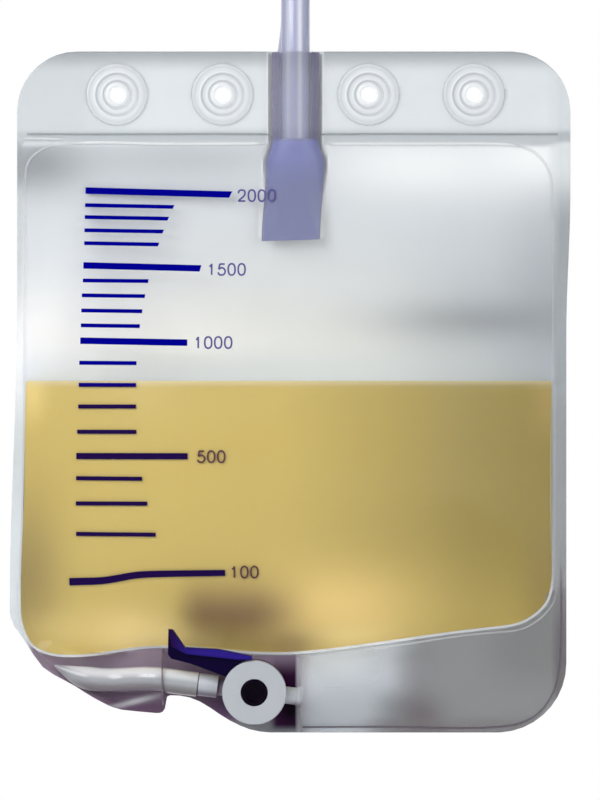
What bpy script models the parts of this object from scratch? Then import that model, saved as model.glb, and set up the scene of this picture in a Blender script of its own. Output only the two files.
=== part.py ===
"""A two-litre urine drainage bag, hung upright. Metres, +Z up, the front faces -Y.

The origin is the middle of the row of hanger holes. The weld plane of the two films is y = 0.
"""

import math

import bmesh
import bpy
import numpy as np
from mathutils import Matrix, Vector

# Films
FILM = 0.0003
WELD_GAP = 0.0003
RUNNING_GAP = 0.0003
SOFT_GAP = 0.0008

# Chamber
CHAMBER_LEFT = -0.1130
CHAMBER_RIGHT = 0.1070
CHAMBER_TOP = -0.0205
CHAMBER_FOOT_LEFT = -0.2337
FOOT_RISE = 0.0130
CHAMBER_FOOT_RIGHT = CHAMBER_FOOT_LEFT + FOOT_RISE
FOOT_SLOPE_START = -0.0070
LIQUID_LEVEL = -0.1204
FULLEST = -0.1550
FRONT_SWELL = 0.0190
BACK_SWELL = 0.0230
SIDE_POWER = 2.6
LIQUID_SETBACK = 0.0035
LIQUID_COLUMNS = 18
LIQUID_ROWS = 10
LIQUID_EDGE = 0.00005

# Outline of the sheet
TOP = 0.018
LEFT_TOP = -0.1162
LEFT_FOOT = -0.1192
RIGHT_TOP = 0.1148
RIGHT_FOOT = 0.1131
FOOT_BAND = 0.0326
FOOT = CHAMBER_FOOT_LEFT - FOOT_BAND
HEADER_RADIUS = 0.025
FOOT_RADIUS = 0.029
LEFT_CORNER_RISE = 0.0177
SHOULDER_RISE = 0.0025
HEEL_DROP = 0.0096
TOE_DROP = 0.0225
LEFT_FLAP_DROP = 0.0246
NOTCH_DROP = 0.0171
LEFT_CORNER_TOP = CHAMBER_FOOT_LEFT + LEFT_CORNER_RISE
LEFT_CORNER_SHOULDER = (-0.1110, CHAMBER_FOOT_LEFT + SHOULDER_RISE)
LEFT_CORNER_HEEL = (-0.0984, CHAMBER_FOOT_LEFT - HEEL_DROP)
LEFT_CORNER_TOE = (-0.0754, CHAMBER_FOOT_LEFT - TOE_DROP)
LEFT_CORNER_RADIUS = 0.012
SHOULDER_RADIUS = 0.030
HEEL_RADIUS = 0.040
LEFT_FLAP_FOOT = CHAMBER_FOOT_LEFT - LEFT_FLAP_DROP
FLAP_RADIUS = 0.002
FLAP_INNER_RADIUS = 0.0008
NOTCH_TOP = CHAMBER_FOOT_LEFT - NOTCH_DROP
NOTCH_LEFT = -0.0535
NOTCH_START = -0.0375
NOTCH_START_RADIUS = 0.020
NOTCH_END = -0.0107
NOTCH_END_RADIUS = 0.030
CORNER_STEPS = 5
TRIM_MARGIN = 0.004

# Window in the front film and the pocket beside it
WINDOW_LEFT = -0.0545
WINDOW_RIGHT = 0.0020
WINDOW_DROP = 0.0008
WINDOW_TOP = CHAMBER_FOOT_LEFT - WINDOW_DROP
WINDOW_RADIUS = 0.002
WINDOW_DEPTH = 0.040
POCKET_REACH = 0.075
POCKET_RIM = 0.0033
POCKET_FOOT = FOOT + POCKET_RIM

# Hanger targets
HOLE_RADIUS = 0.0035
HOLE_CUT = 0.0040
TARGET_INNER = 0.00175
TARGET_LIFT = 0.00005
INNER_HOLE_OFFSET = 0.0305
OUTER_HOLE_OFFSET = 0.0745
TARGET_RIDGES = (0.00605, 0.00907, 0.01205)
RIDGE_HEIGHT = 0.00045
RIDGE_HALF_WIDTH = 0.0006
TARGET_SIDES = 16

# Inlet tube and its valve
TUBE_RADIUS = 0.0060
TUBE_END = -0.0200
SLEEVE_WALL = 0.00025
SLEEVE_SEAM = 0.0015
SLEEVE_TOP = 0.0176
SLEEVE_HALF_WIDTH = 0.0099
SLEEVE_HALF_WIDTH_BELOW = 0.0122
SLEEVE_WIDEST = -0.0280
SLEEVE_FOOT = -0.0608
SLEEVE_MOUTH = 0.0010
SLEEVE_SIDES = 20
TENT_MARGIN = 0.0042
TENT_FADE = 0.0060

# Outlet tube
OUTLET_RADIUS = 0.00515
OUTLET_BORE = 0.00410
OUTLET_START_DROP = 0.0068
OUTLET_MIDDLE_DROP = 0.0087
OUTLET_START = Vector((-0.0985, 0.0, CHAMBER_FOOT_LEFT - OUTLET_START_DROP))
OUTLET_MIDDLE = Vector((-0.0800, -0.0016, CHAMBER_FOOT_LEFT - OUTLET_MIDDLE_DROP))
OUTLET_TENT = 0.0112
OUTLET_STRAIGHT = (1.3, 0.9, 0.45, 0.0)
OUTLET_POINTS = 14

# Tap
TAP_X = -0.01705
TAP_DROP = 0.0150
TAP_Z = CHAMBER_FOOT_LEFT - TAP_DROP
FLOW_DEPTH = 0.0075
TAP_TILT = math.radians(7.0)
DISC_RADIUS = 0.01275
DISC_FRONT = 0.0200
DISC_DEPTH = 0.0080
DISC_PLATE = 0.0015
DISC_EDGE = 0.0006
DISC_HOLE = 0.0052
DISC_FLAT = 0.0119
BARREL_RADIUS = 0.0103
BARREL_BACK = 0.0030
PLUG_RADIUS = 0.0077
SNAP_HEIGHT = 0.0004
SNAP_DEPTH = 0.0140
SNAP_WIDTH = 0.0012
NECK_RADIUS = 0.0036
COLLAR_RADIUS = 0.0047
COLLAR_START = 0.0153
COLLAR_END = 0.0236
COLLAR_EDGE = 0.0004
BARB_RADIUS = 0.0033
BARB_LENGTH = 0.0130
BARB_STEPS = 3
BARB_ROOT = 0.00284
BARB_TIP = 0.00271
BARB_RISE = 0.15
STUB_RADIUS = 0.00425
STUB_END = 0.0205
FLOW_BORE = 0.0021
ROUND_SIDES = 32

# Lever
HUB_RADIUS = 0.0136
HUB_BACK = 0.0003
HUB_FRONT = 0.0026
LEVER_BACK = 0.0130
LEVER_FRONT = 0.0215
LEVER_WALL = 0.0014
ROOT_BACK = 0.0092
ROOT_INNER = 0.0134
ROOT_FROM = math.radians(114.0)
ROOT_TO = math.radians(151.0)
ROOT_OUTER = 0.0168
WEB_INNER = 0.0107
WEB_OUTER = 0.0150
ROOT_INSET = 0.0003
ROOT_LAP = 0.0010
ARM_TOP_END = Vector((-0.0291, 0.0, 0.0186))
TIP_TOP = Vector((-0.0337, 0.0, 0.0276))
TIP_OUTER = Vector((-0.0354, 0.0, 0.0272))
TIP_FOOT = Vector((-0.0350, 0.0, 0.0138))
ARM_HEEL = Vector((-0.0338, 0.0, 0.0124))
ARM_BELLY = Vector((-0.0250, 0.0, 0.0102))
HOLLOW = [
    (-0.0110, 0.0137),
    (-0.0298, 0.0168),
    (-0.0336, 0.0166),
    (-0.0324, 0.0139),
    (-0.0250, 0.0116),
    (-0.0134, 0.0097),
]
HOLLOW_OPEN = 0.0020
PORT_OVERRUN = 0.0010
PLUG_END_BORE = 0.0040
PLUG_END_DEPTH = 0.0035
PLUG_END_SETBACK = 0.0005

# Put-away hose: its route behind the bag, then its coil
HOSE_ROUTE = [
    (0.0, 0.0, TUBE_END),
    (0.0, 0.0, 0.000),
    (0.0, 0.0, 0.018),
    (0.0, 0.0005, 0.034),
    (0.0, 0.0040, 0.052),
    (0.0, 0.0130, 0.071),
    (0.0, 0.0280, 0.086),
    (0.0, 0.0475, 0.092),
    (0.0, 0.0670, 0.087),
    (0.0, 0.0820, 0.073),
    (0.0, 0.0885, 0.054),
    (-0.0005, 0.0865, 0.034),
    (-0.0030, 0.0790, 0.016),
    (-0.0070, 0.0690, 0.001),
    (-0.0146, 0.0608, -0.0138),
]
HOSE_POINTS = 38
COIL_CENTRE = Vector((0.020, 0.0, -0.080))
COIL_RADIUS = 0.063
COIL_REAR_LAYER = 0.0600
COIL_START = math.radians(150.0)
COIL_PITCH = 0.0126
COIL_TURNS = 2 + 1 / 12
COIL_CLEARANCE = 0.0003
COIL_STEPS = 32
TIE_ANGLE = math.radians(165.0)
TIE_WIDTH = 0.008
TIE_WALL = 0.0008

# Far end of the hose
CONNECTOR_TOP = -0.1235
HOSE_END_TOP = -0.1200
SOCKET_RADIUS = 0.0080
SOCKET_LENGTH = 0.0170
SOCKET_WALL = 0.0017
FLANGE_RADIUS = 0.0082
FLANGE_LENGTH = 0.0025
NOZZLE_BASE = 0.0055
NOZZLE_TIP = 0.0034
NOZZLE_LENGTH = 0.0310
NOZZLE_STEPS = 3
NOZZLE_BORE = 0.0020
NOZZLE_EDGE = 0.0010
NOZZLE_RISE = 0.6
CONNECTOR_SIDES = 20
CAP_WALL = 0.0011
CAP_END_GAP = 0.0015
CAP_RIBS = 10
CAP_RIB_HEIGHT = 0.0005
CAP_RIB_START = 0.0060
CAP_RIB_SETBACK = 0.0020
SHARP_ANGLE = math.radians(35.0)


def smoothstep(t):
    """Runs from 0 to 1 with level ends."""
    t = np.clip(t, 0.0, 1.0)
    return t * t * (3.0 - 2.0 * t)


def stations(*stretches):
    """Places along an axis: each stretch is (start, stop, number of steps), and ends meet."""
    places = []
    for start, stop, steps in stretches:
        places.extend(start + (stop - start) * i / steps for i in range(steps))
    places.append(stretches[-1][1])
    return np.array(places)


def natural_curve(points, samples):
    """A smooth curve through the points: a natural cubic spline over the distance between them."""
    points = np.array(points, float)
    steps = np.linalg.norm(np.diff(points, axis=0), axis=1)
    knots = np.concatenate([[0.0], np.cumsum(steps)])
    count = len(points)
    system = np.eye(count)
    right = np.zeros((count, 3))
    slopes = np.diff(points, axis=0) / steps[:, None]
    for i in range(1, count - 1):
        system[i, i - 1 : i + 2] = steps[i - 1], 2 * (steps[i - 1] + steps[i]), steps[i]
        right[i] = 6 * (slopes[i] - slopes[i - 1])
    bends = np.linalg.solve(system, right)
    at = np.linspace(0.0, knots[-1], samples)
    span = np.clip(np.searchsorted(knots, at, side="right") - 1, 0, count - 2)
    h = steps[span][:, None]
    before = (knots[span + 1] - at)[:, None]
    after = (at - knots[span])[:, None]
    return (
        bends[span] * before**3 / (6 * h)
        + bends[span + 1] * after**3 / (6 * h)
        + (points[span] / h - bends[span] * h / 6) * before
        + (points[span + 1] / h - bends[span + 1] * h / 6) * after
    )


# Surfaces of the bag, each as a distance from the weld plane


def chamber_foot(x):
    """Height of the chamber's lower weld: level on the left, rising to the right."""
    rise = (CHAMBER_FOOT_RIGHT - CHAMBER_FOOT_LEFT) / (CHAMBER_RIGHT - FOOT_SLOPE_START)
    return CHAMBER_FOOT_LEFT + rise * np.maximum(x - FOOT_SLOPE_START, 0.0)


def pillow(x, z):
    """Share of the full swell: none at the welds, all of it at the fullest height on the centre line."""
    half = (CHAMBER_RIGHT - CHAMBER_LEFT) / 2
    across = np.clip(np.abs(x - (CHAMBER_LEFT + CHAMBER_RIGHT) / 2) / half, 0.0, 1.0)
    upper = np.clip((z - FULLEST) / (CHAMBER_TOP - FULLEST), 0.0, 1.0)
    lower = np.clip((FULLEST - z) / (FULLEST - chamber_foot(x)), 0.0, 1.0)
    return (1.0 - across**SIDE_POWER) * (1.0 - upper**2) ** 2 * (1.0 - lower**2)


def sleeve_size(z):
    """Half width and half thickness of the valve sleeve, outside, at a height."""
    opened = smoothstep((TUBE_END - z) / (TUBE_END - SLEEVE_WIDEST))
    flattened = smoothstep((TUBE_END - z) / (TUBE_END - SLEEVE_FOOT))
    full = TUBE_RADIUS + RUNNING_GAP + SLEEVE_WALL
    width = SLEEVE_HALF_WIDTH + (SLEEVE_HALF_WIDTH_BELOW - SLEEVE_HALF_WIDTH) * opened
    return width, full + (SLEEVE_MOUTH - full) * flattened


def valve_tent(x, z):
    """The films stand clear of the inlet tube and its sleeve, in a half ellipse that ends below the sleeve."""
    width, height = sleeve_size(z)
    reach = width + TENT_MARGIN
    shape = np.sqrt(np.clip(1.0 - (x / reach) ** 2, 0.0, 1.0))
    fade = smoothstep((z - SLEEVE_FOOT + TENT_FADE) / TENT_FADE)
    return (height + SOFT_GAP) * shape * fade


def outlet_line():
    """The outlet tube's centre line, from the chamber's corner to the tap's spigot."""
    axis = spigot_axis()
    end = tap_point(COLLAR_END + RUNNING_GAP)
    straight = [end + axis * BARB_LENGTH * share for share in OUTLET_STRAIGHT]
    return natural_curve([OUTLET_START, OUTLET_MIDDLE, *straight], OUTLET_POINTS)


def spigot_axis():
    """Direction of the tap's spigot, out from the barrel to the left."""
    return Vector((-math.cos(TAP_TILT), 0.0, math.sin(TAP_TILT)))


def tap_point(distance):
    """A point on the tap's flow axis at a distance from the barrel's axis, to the left."""
    return Vector((TAP_X, -FLOW_DEPTH, TAP_Z)) + spigot_axis() * distance


def outlet_tent(x, z, side):
    """The films stand clear of the outlet tube. side is 1 for the front film and -1 for the back."""
    line = outlet_line()
    x, z = np.broadcast_arrays(np.asarray(x, float), np.asarray(z, float))
    along = np.clip(x, line[0, 0], line[-1, 0])
    middle = np.interp(along, line[:, 0], line[:, 2])
    forward = -np.interp(along, line[:, 0], line[:, 1])
    clear = OUTLET_RADIUS + SOFT_GAP + side * forward
    reach = OUTLET_TENT
    before = np.clip((line[0, 0] - x) / OUTLET_TENT, 0.0, 1.0)
    across = np.clip(np.abs(z - middle) / reach, 0.0, 1.0)
    round_end = np.clip(1.0 - across**2 - before**2, 0.0, 1.0)
    past = smoothstep((line[-1, 0] - x) / OUTLET_TENT + 1.0)
    return np.maximum(clear, 0.0) * np.sqrt(round_end) * past


def pocket_tent(x, z):
    """The pocket's film stands open over the tap's stub at its mouth and closes to the right."""
    top = chamber_foot(x)
    middle = (top + POCKET_FOOT) / 2
    across = np.clip(np.abs(z - middle) / ((top - POCKET_FOOT) / 2), 0.0, 1.0)
    open_share = 1.0 - smoothstep((x - WINDOW_RIGHT) / POCKET_REACH)
    mouth = FLOW_DEPTH + STUB_RADIUS + 2 * SOFT_GAP
    return mouth * open_share * (1.0 - across**2) * (x >= 0.0)


def front_face(x, z):
    """Distance of the front film's inner face from the weld plane."""
    lifted = np.maximum(FRONT_SWELL * pillow(x, z), valve_tent(x, z))
    lifted = np.maximum(lifted, outlet_tent(x, z, 1.0))
    return WELD_GAP / 2 + np.maximum(lifted, pocket_tent(x, z))


def back_face(x, z):
    """Distance of the back film's inner face from the weld plane."""
    lifted = np.maximum(BACK_SWELL * pillow(x, z), valve_tent(x, z))
    return WELD_GAP / 2 + np.maximum(lifted, outlet_tent(x, z, -1.0))


def film_stations():
    """Grid lines of the films: close where a film bends sharply, wide elsewhere."""
    tent = SLEEVE_HALF_WIDTH_BELOW + TENT_MARGIN
    across = stations(
        (LEFT_FOOT - TRIM_MARGIN, CHAMBER_LEFT, 1),
        (CHAMBER_LEFT, OUTLET_START.x, 2),
        (OUTLET_START.x, WINDOW_LEFT, 5),
        (WINDOW_LEFT, -tent, 3),
        (-tent, -SLEEVE_HALF_WIDTH / 2, 4),
        (-SLEEVE_HALF_WIDTH / 2, SLEEVE_HALF_WIDTH / 2, 4),
        (SLEEVE_HALF_WIDTH / 2, tent, 4),
        (tent, POCKET_REACH, 4),
        (POCKET_REACH, CHAMBER_RIGHT, 3),
        (CHAMBER_RIGHT, RIGHT_TOP + TRIM_MARGIN, 1),
    )
    up = stations(
        (FOOT - TRIM_MARGIN, POCKET_FOOT, 1),
        (POCKET_FOOT, CHAMBER_FOOT_LEFT, 9),
        (CHAMBER_FOOT_LEFT, CHAMBER_FOOT_RIGHT, 2),
        (CHAMBER_FOOT_RIGHT, FULLEST, 5),
        (FULLEST, SLEEVE_FOOT - TENT_FADE, 6),
        (SLEEVE_FOOT - TENT_FADE, TUBE_END, 5),
        (TUBE_END, TOP + TRIM_MARGIN, 2),
    )
    return across, up


# Modelling helpers


def start_clean():
    """Empties the scene and makes one collection for the parts and one for the cutters."""
    for item in list(bpy.data.objects):
        bpy.data.objects.remove(item, do_unlink=True)
    scene = bpy.context.scene.collection
    made = []
    for name in ("urine_drainage_bag", "cutters"):
        group = bpy.data.collections.new(name)
        scene.children.link(group)
        made.append(group)
    return made


def finish(name, colour, roughness, alpha=1.0):
    """A Principled material."""
    made = bpy.data.materials.new(name)
    made.use_nodes = True
    shader = made.node_tree.nodes["Principled BSDF"]
    shader.inputs["Base Color"].default_value = (*colour, 1.0)
    shader.inputs["Roughness"].default_value = roughness
    shader.inputs["Alpha"].default_value = alpha
    return made


def keep(mesh_or_curve, name, group, material=None):
    """Wraps data in an object and puts it in a collection."""
    made = bpy.data.objects.new(name, mesh_or_curve)
    group.objects.link(made)
    if material is not None:
        mesh_or_curve.materials.append(material)
    return made


def hide_tool(tool):
    """Marks an object as a cutter or a guide."""
    tool.hide_render = True
    tool.display_type = "WIRE"
    return tool


def combine(piece, tool, operation):
    """Adds an exact Boolean with a hidden tool."""
    step = piece.modifiers.new(f"{operation.lower()}_{tool.name}", "BOOLEAN")
    step.operation = operation
    step.solver = "EXACT"
    step.object = hide_tool(tool)
    return piece


def made_solid(item, name, group, material=None):
    """Makes a curve or a piece with modifiers into a plain closed mesh of the same place and shape."""
    bpy.context.view_layer.update()
    seen = item.evaluated_get(bpy.context.evaluated_depsgraph_get())
    mesh = bpy.data.meshes.new_from_object(seen)
    mesh.transform(item.matrix_world)
    mesh.materials.clear()
    shape = bmesh.new()
    shape.from_mesh(mesh)
    bmesh.ops.remove_doubles(shape, verts=shape.verts, dist=1e-6)
    bmesh.ops.recalc_face_normals(shape, faces=shape.faces)
    shape.to_mesh(mesh)
    shape.free()
    bpy.data.objects.remove(item, do_unlink=True)
    return keep(mesh, name, group, material)


def flat_outline(points, front, back, name, group):
    """A flat outline in the XZ plane, drawn through the points and given depth from front to back (both forward)."""
    curve = bpy.data.curves.new(name, "CURVE")
    curve.dimensions = "2D"
    curve.fill_mode = "BOTH"
    curve.extrude = (front - back) / 2
    line = curve.splines.new("POLY")
    line.points.add(len(points) - 1)
    for point, (x, z) in zip(line.points, points, strict=True):
        point.co = (x, z, 0.0, 1.0)
    line.use_cyclic_u = True
    sheet = keep(curve, name + "_outline", group)
    sheet.matrix_world = Matrix.Translation((0, -(front + back) / 2, 0)) @ Matrix.Rotation(
        math.pi / 2, 4, "X"
    )
    return made_solid(sheet, name, group)


def rounded(corners, steps=CORNER_STEPS):
    """An outline with each (x, z, radius) corner rounded by an arc."""
    points = []
    count = len(corners)
    for i, (x, z, radius) in enumerate(corners):
        here = Vector((x, z))
        before = (Vector(corners[i - 1][:2]) - here).normalized()
        after = (Vector(corners[(i + 1) % count][:2]) - here).normalized()
        half = before.angle(after) / 2
        if radius <= 0.0:
            points.append((x, z))
            continue
        centre = here + (before + after).normalized() * radius / math.sin(half)
        start = here + before * radius / math.tan(half) - centre
        stop = here + after * radius / math.tan(half) - centre
        turn = start.angle_signed(stop)
        for k in range(steps + 1):
            arm = start.copy()
            arm.rotate(Matrix.Rotation(-turn * k / steps, 2))
            points.append(tuple(centre + arm))
    return points


def turned(profile, name, group, direction, origin, sides=ROUND_SIDES):
    """Turns a closed (radius, distance) profile about an axis through the origin along a direction."""
    mesh = bpy.data.meshes.new(name + "_profile")
    count = len(profile)
    edges = [(i, (i + 1) % count) for i in range(count)]
    off_axis = [(a, b) for a, b in edges if profile[a][0] > 0.0 or profile[b][0] > 0.0]
    mesh.from_pydata([(radius, 0.0, distance) for radius, distance in profile], off_axis, [])
    item = keep(mesh, name + "_turned", group)
    screw = item.modifiers.new("turn", "SCREW")
    screw.steps = sides
    screw.render_steps = sides
    screw.use_merge_vertices = True
    screw.merge_threshold = 0.00001
    item.matrix_world = Matrix.Translation(origin) @ Vector(direction).to_track_quat(
        "Z", "Y"
    ).to_matrix().to_4x4()
    return made_solid(item, name, group)


def rod(points, radius, name, group, resolution=2):
    """A tube or rod: a poly curve with a round bevel and filled caps, made a mesh."""
    curve = bpy.data.curves.new(name, "CURVE")
    curve.dimensions = "3D"
    curve.bevel_depth = radius
    curve.bevel_resolution = resolution
    curve.use_fill_caps = True
    line = curve.splines.new("POLY")
    line.points.add(len(points) - 1)
    for point, place in zip(line.points, points, strict=True):
        point.co = (*place, 1.0)
    return made_solid(keep(curve, name + "_curve", group), name, group)


def give(piece, material):
    """Gives a piece its one material."""
    piece.data.materials.clear()
    piece.data.materials.append(material)
    return piece


# Films


def sheet_outline():
    """The die-cut outline that both films share, counter-clockwise from the notch by the tap."""
    return rounded(
        [
            (NOTCH_START, NOTCH_TOP, NOTCH_START_RADIUS),
            (NOTCH_END, FOOT, NOTCH_END_RADIUS),
            (RIGHT_FOOT, FOOT, FOOT_RADIUS),
            (RIGHT_TOP, TOP, HEADER_RADIUS),
            (LEFT_TOP, TOP, HEADER_RADIUS),
            (LEFT_FOOT, LEFT_CORNER_TOP, LEFT_CORNER_RADIUS),
            (*LEFT_CORNER_SHOULDER, SHOULDER_RADIUS),
            (*LEFT_CORNER_HEEL, HEEL_RADIUS),
            (*LEFT_CORNER_TOE, HEEL_RADIUS),
            (WINDOW_LEFT, LEFT_FLAP_FOOT, FLAP_RADIUS),
            (NOTCH_LEFT, NOTCH_TOP, FLAP_INNER_RADIUS),
        ]
    )


def film(name, face, side, outline, parts, cutters):
    """One film: a grid lifted by its surface, thickened outwards, trimmed to the outline and pierced."""
    across, up = film_stations()
    shape = bmesh.new()
    bmesh.ops.create_grid(shape, x_segments=len(across) - 1, y_segments=len(up) - 1, size=1.0)
    for vert in shape.verts:
        column = round((vert.co.x + 1.0) / 2.0 * (len(across) - 1))
        row = round((vert.co.y + 1.0) / 2.0 * (len(up) - 1))
        x, z = across[column], up[row]
        vert.co = (x, -side * float(face(x, z)), z)
    bmesh.ops.recalc_face_normals(shape, faces=shape.faces)
    if (sum(f.normal.y for f in shape.faces) < 0) != (side > 0):
        bmesh.ops.reverse_faces(shape, faces=shape.faces)
    mesh = bpy.data.meshes.new(name)
    shape.to_mesh(mesh)
    shape.free()
    item = keep(mesh, name, parts)
    wall = item.modifiers.new("film", "SOLIDIFY")
    wall.thickness = FILM
    wall.offset = 1.0
    depth = FRONT_SWELL + BACK_SWELL
    cutter = flat_outline(outline, depth, -depth, name + "_trim", cutters)
    combine(item, cutter, "INTERSECT")
    return item


def hanger_targets(item, cutters):
    """Adds the embossed target round each hanger hole of the front film."""
    base = WELD_GAP / 2 + FILM / 2
    face = WELD_GAP / 2 + FILM + TARGET_LIFT
    edge = TARGET_RIDGES[-1] + 2 * RIDGE_HALF_WIDTH
    profile = [(TARGET_INNER, base), (edge, base), (edge, face)]
    for ridge in reversed(TARGET_RIDGES):
        profile.append((ridge + RIDGE_HALF_WIDTH, face))
        profile.append((ridge, face - TARGET_LIFT + RIDGE_HEIGHT))
        profile.append((ridge - RIDGE_HALF_WIDTH, face))
    profile.append((TARGET_INNER, face))
    for index, x in enumerate(hole_places()):
        target = turned(profile, f"target_{index}", cutters, (0, -1, 0), (x, 0, 0), TARGET_SIDES)
        combine(item, target, "UNION")


def hole_places():
    """Places of the hanger holes across the header."""
    return (-OUTER_HOLE_OFFSET, -INNER_HOLE_OFFSET, INNER_HOLE_OFFSET, OUTER_HOLE_OFFSET)


def pierce(item, cutters):
    """Cuts the hanger holes through a film."""
    profile = [(HOLE_RADIUS, HOLE_CUT), (HOLE_RADIUS, -HOLE_CUT), (0.0, -HOLE_CUT), (0.0, HOLE_CUT)]
    for index, x in enumerate(hole_places()):
        hole = turned(
            profile, f"{item.name}_hole_{index}", cutters, (0, -1, 0), (x, 0, 0), TARGET_SIDES
        )
        combine(item, hole, "DIFFERENCE")


def window(item, cutters):
    """Cuts the window round the tap out of the front film."""
    below = FOOT - TRIM_MARGIN
    corners = [
        (WINDOW_LEFT, below, 0.0),
        (WINDOW_RIGHT, below, 0.0),
        (WINDOW_RIGHT, WINDOW_TOP, WINDOW_RADIUS),
        (WINDOW_LEFT, WINDOW_TOP, WINDOW_RADIUS),
    ]
    outline = rounded(corners)
    tool = flat_outline(outline, WINDOW_DEPTH, -WINDOW_DEPTH, "window", cutters)
    combine(item, tool, "DIFFERENCE")


def contents(parts, material):
    """The liquid: it fills the chamber below the level, a small gap inside both films."""
    left = CHAMBER_LEFT + LIQUID_SETBACK
    right = CHAMBER_RIGHT - LIQUID_SETBACK
    columns = stations((left, right, LIQUID_COLUMNS))
    rows = LIQUID_ROWS
    shape = bmesh.new()
    faces = {}
    for side, face in ((1.0, front_face), (-1.0, back_face)):
        for i, x in enumerate(columns):
            foot = float(chamber_foot(x)) + LIQUID_SETBACK
            for j in range(rows + 1):
                z = foot + (LIQUID_LEVEL - foot) * (1 - math.cos(math.pi / 2 * j / rows))
                out = max(float(face(x, z)) - 2 * RUNNING_GAP, LIQUID_EDGE)
                faces[side, i, j] = shape.verts.new((x, -side * out, z))
    last = len(columns) - 1
    for side in (1.0, -1.0):
        for i in range(last):
            for j in range(rows):
                ring = [faces[side, i, j], faces[side, i + 1, j]]
                ring += [faces[side, i + 1, j + 1], faces[side, i, j + 1]]
                shape.faces.new(ring)
    for i in range(last):
        for j in (0, rows):
            ring = [faces[1.0, i, j], faces[1.0, i + 1, j]]
            shape.faces.new(ring + [faces[-1.0, i + 1, j], faces[-1.0, i, j]])
    for j in range(rows):
        for i in (0, last):
            ring = [faces[1.0, i, j], faces[1.0, i, j + 1]]
            shape.faces.new(ring + [faces[-1.0, i, j + 1], faces[-1.0, i, j]])
    bmesh.ops.recalc_face_normals(shape, faces=shape.faces)
    mesh = bpy.data.meshes.new("contents")
    shape.to_mesh(mesh)
    shape.free()
    return keep(mesh, "contents", parts, material)


def valve_sleeve(parts, material):
    """Two films welded along both edges: round over the tube's end, flat and open below it."""
    heights = stations((SLEEVE_TOP, TUBE_END, 2), (TUBE_END, SLEEVE_FOOT, 6))
    shape = bmesh.new()
    rings = []
    for inset_x, inset_y in ((0.0, 0.0), (SLEEVE_SEAM, SLEEVE_WALL)):
        for z in heights:
            width, height = sleeve_size(z)
            ring = []
            for k in range(SLEEVE_SIDES):
                angle = 2 * math.pi * k / SLEEVE_SIDES
                x = (width - inset_x) * math.cos(angle)
                y = (height - inset_y) * math.sin(angle)
                ring.append(shape.verts.new((x, y, z)))
            rings.append(ring)
    count = len(heights)
    joins = [(i, i + 1) for i in range(count - 1)]
    joins += [(count + i, count + i + 1) for i in range(count - 1)]
    joins += [(0, count), (count - 1, 2 * count - 1)]
    for a, b in joins:
        for k in range(SLEEVE_SIDES):
            n = (k + 1) % SLEEVE_SIDES
            shape.faces.new([rings[a][k], rings[a][n], rings[b][n], rings[b][k]])
    bmesh.ops.recalc_face_normals(shape, faces=shape.faces)
    mesh = bpy.data.meshes.new("valve_sleeve")
    shape.to_mesh(mesh)
    shape.free()
    return keep(mesh, "valve_sleeve", parts, material)


# Tap


def outlet_tube(parts, cutters, material):
    """The soft tube from the chamber's corner to the tap, pushed over the barb."""
    line = outlet_line()
    tube = rod(line, OUTLET_RADIUS, "outlet_tube", parts, 4)
    ends = [line[0] * 2 - line[1], *line[1:-1], line[-1] * 2 - line[-2]]
    combine(tube, rod(ends, OUTLET_BORE, "outlet_bore", cutters, 4), "DIFFERENCE")
    return give(tube, material)


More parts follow.
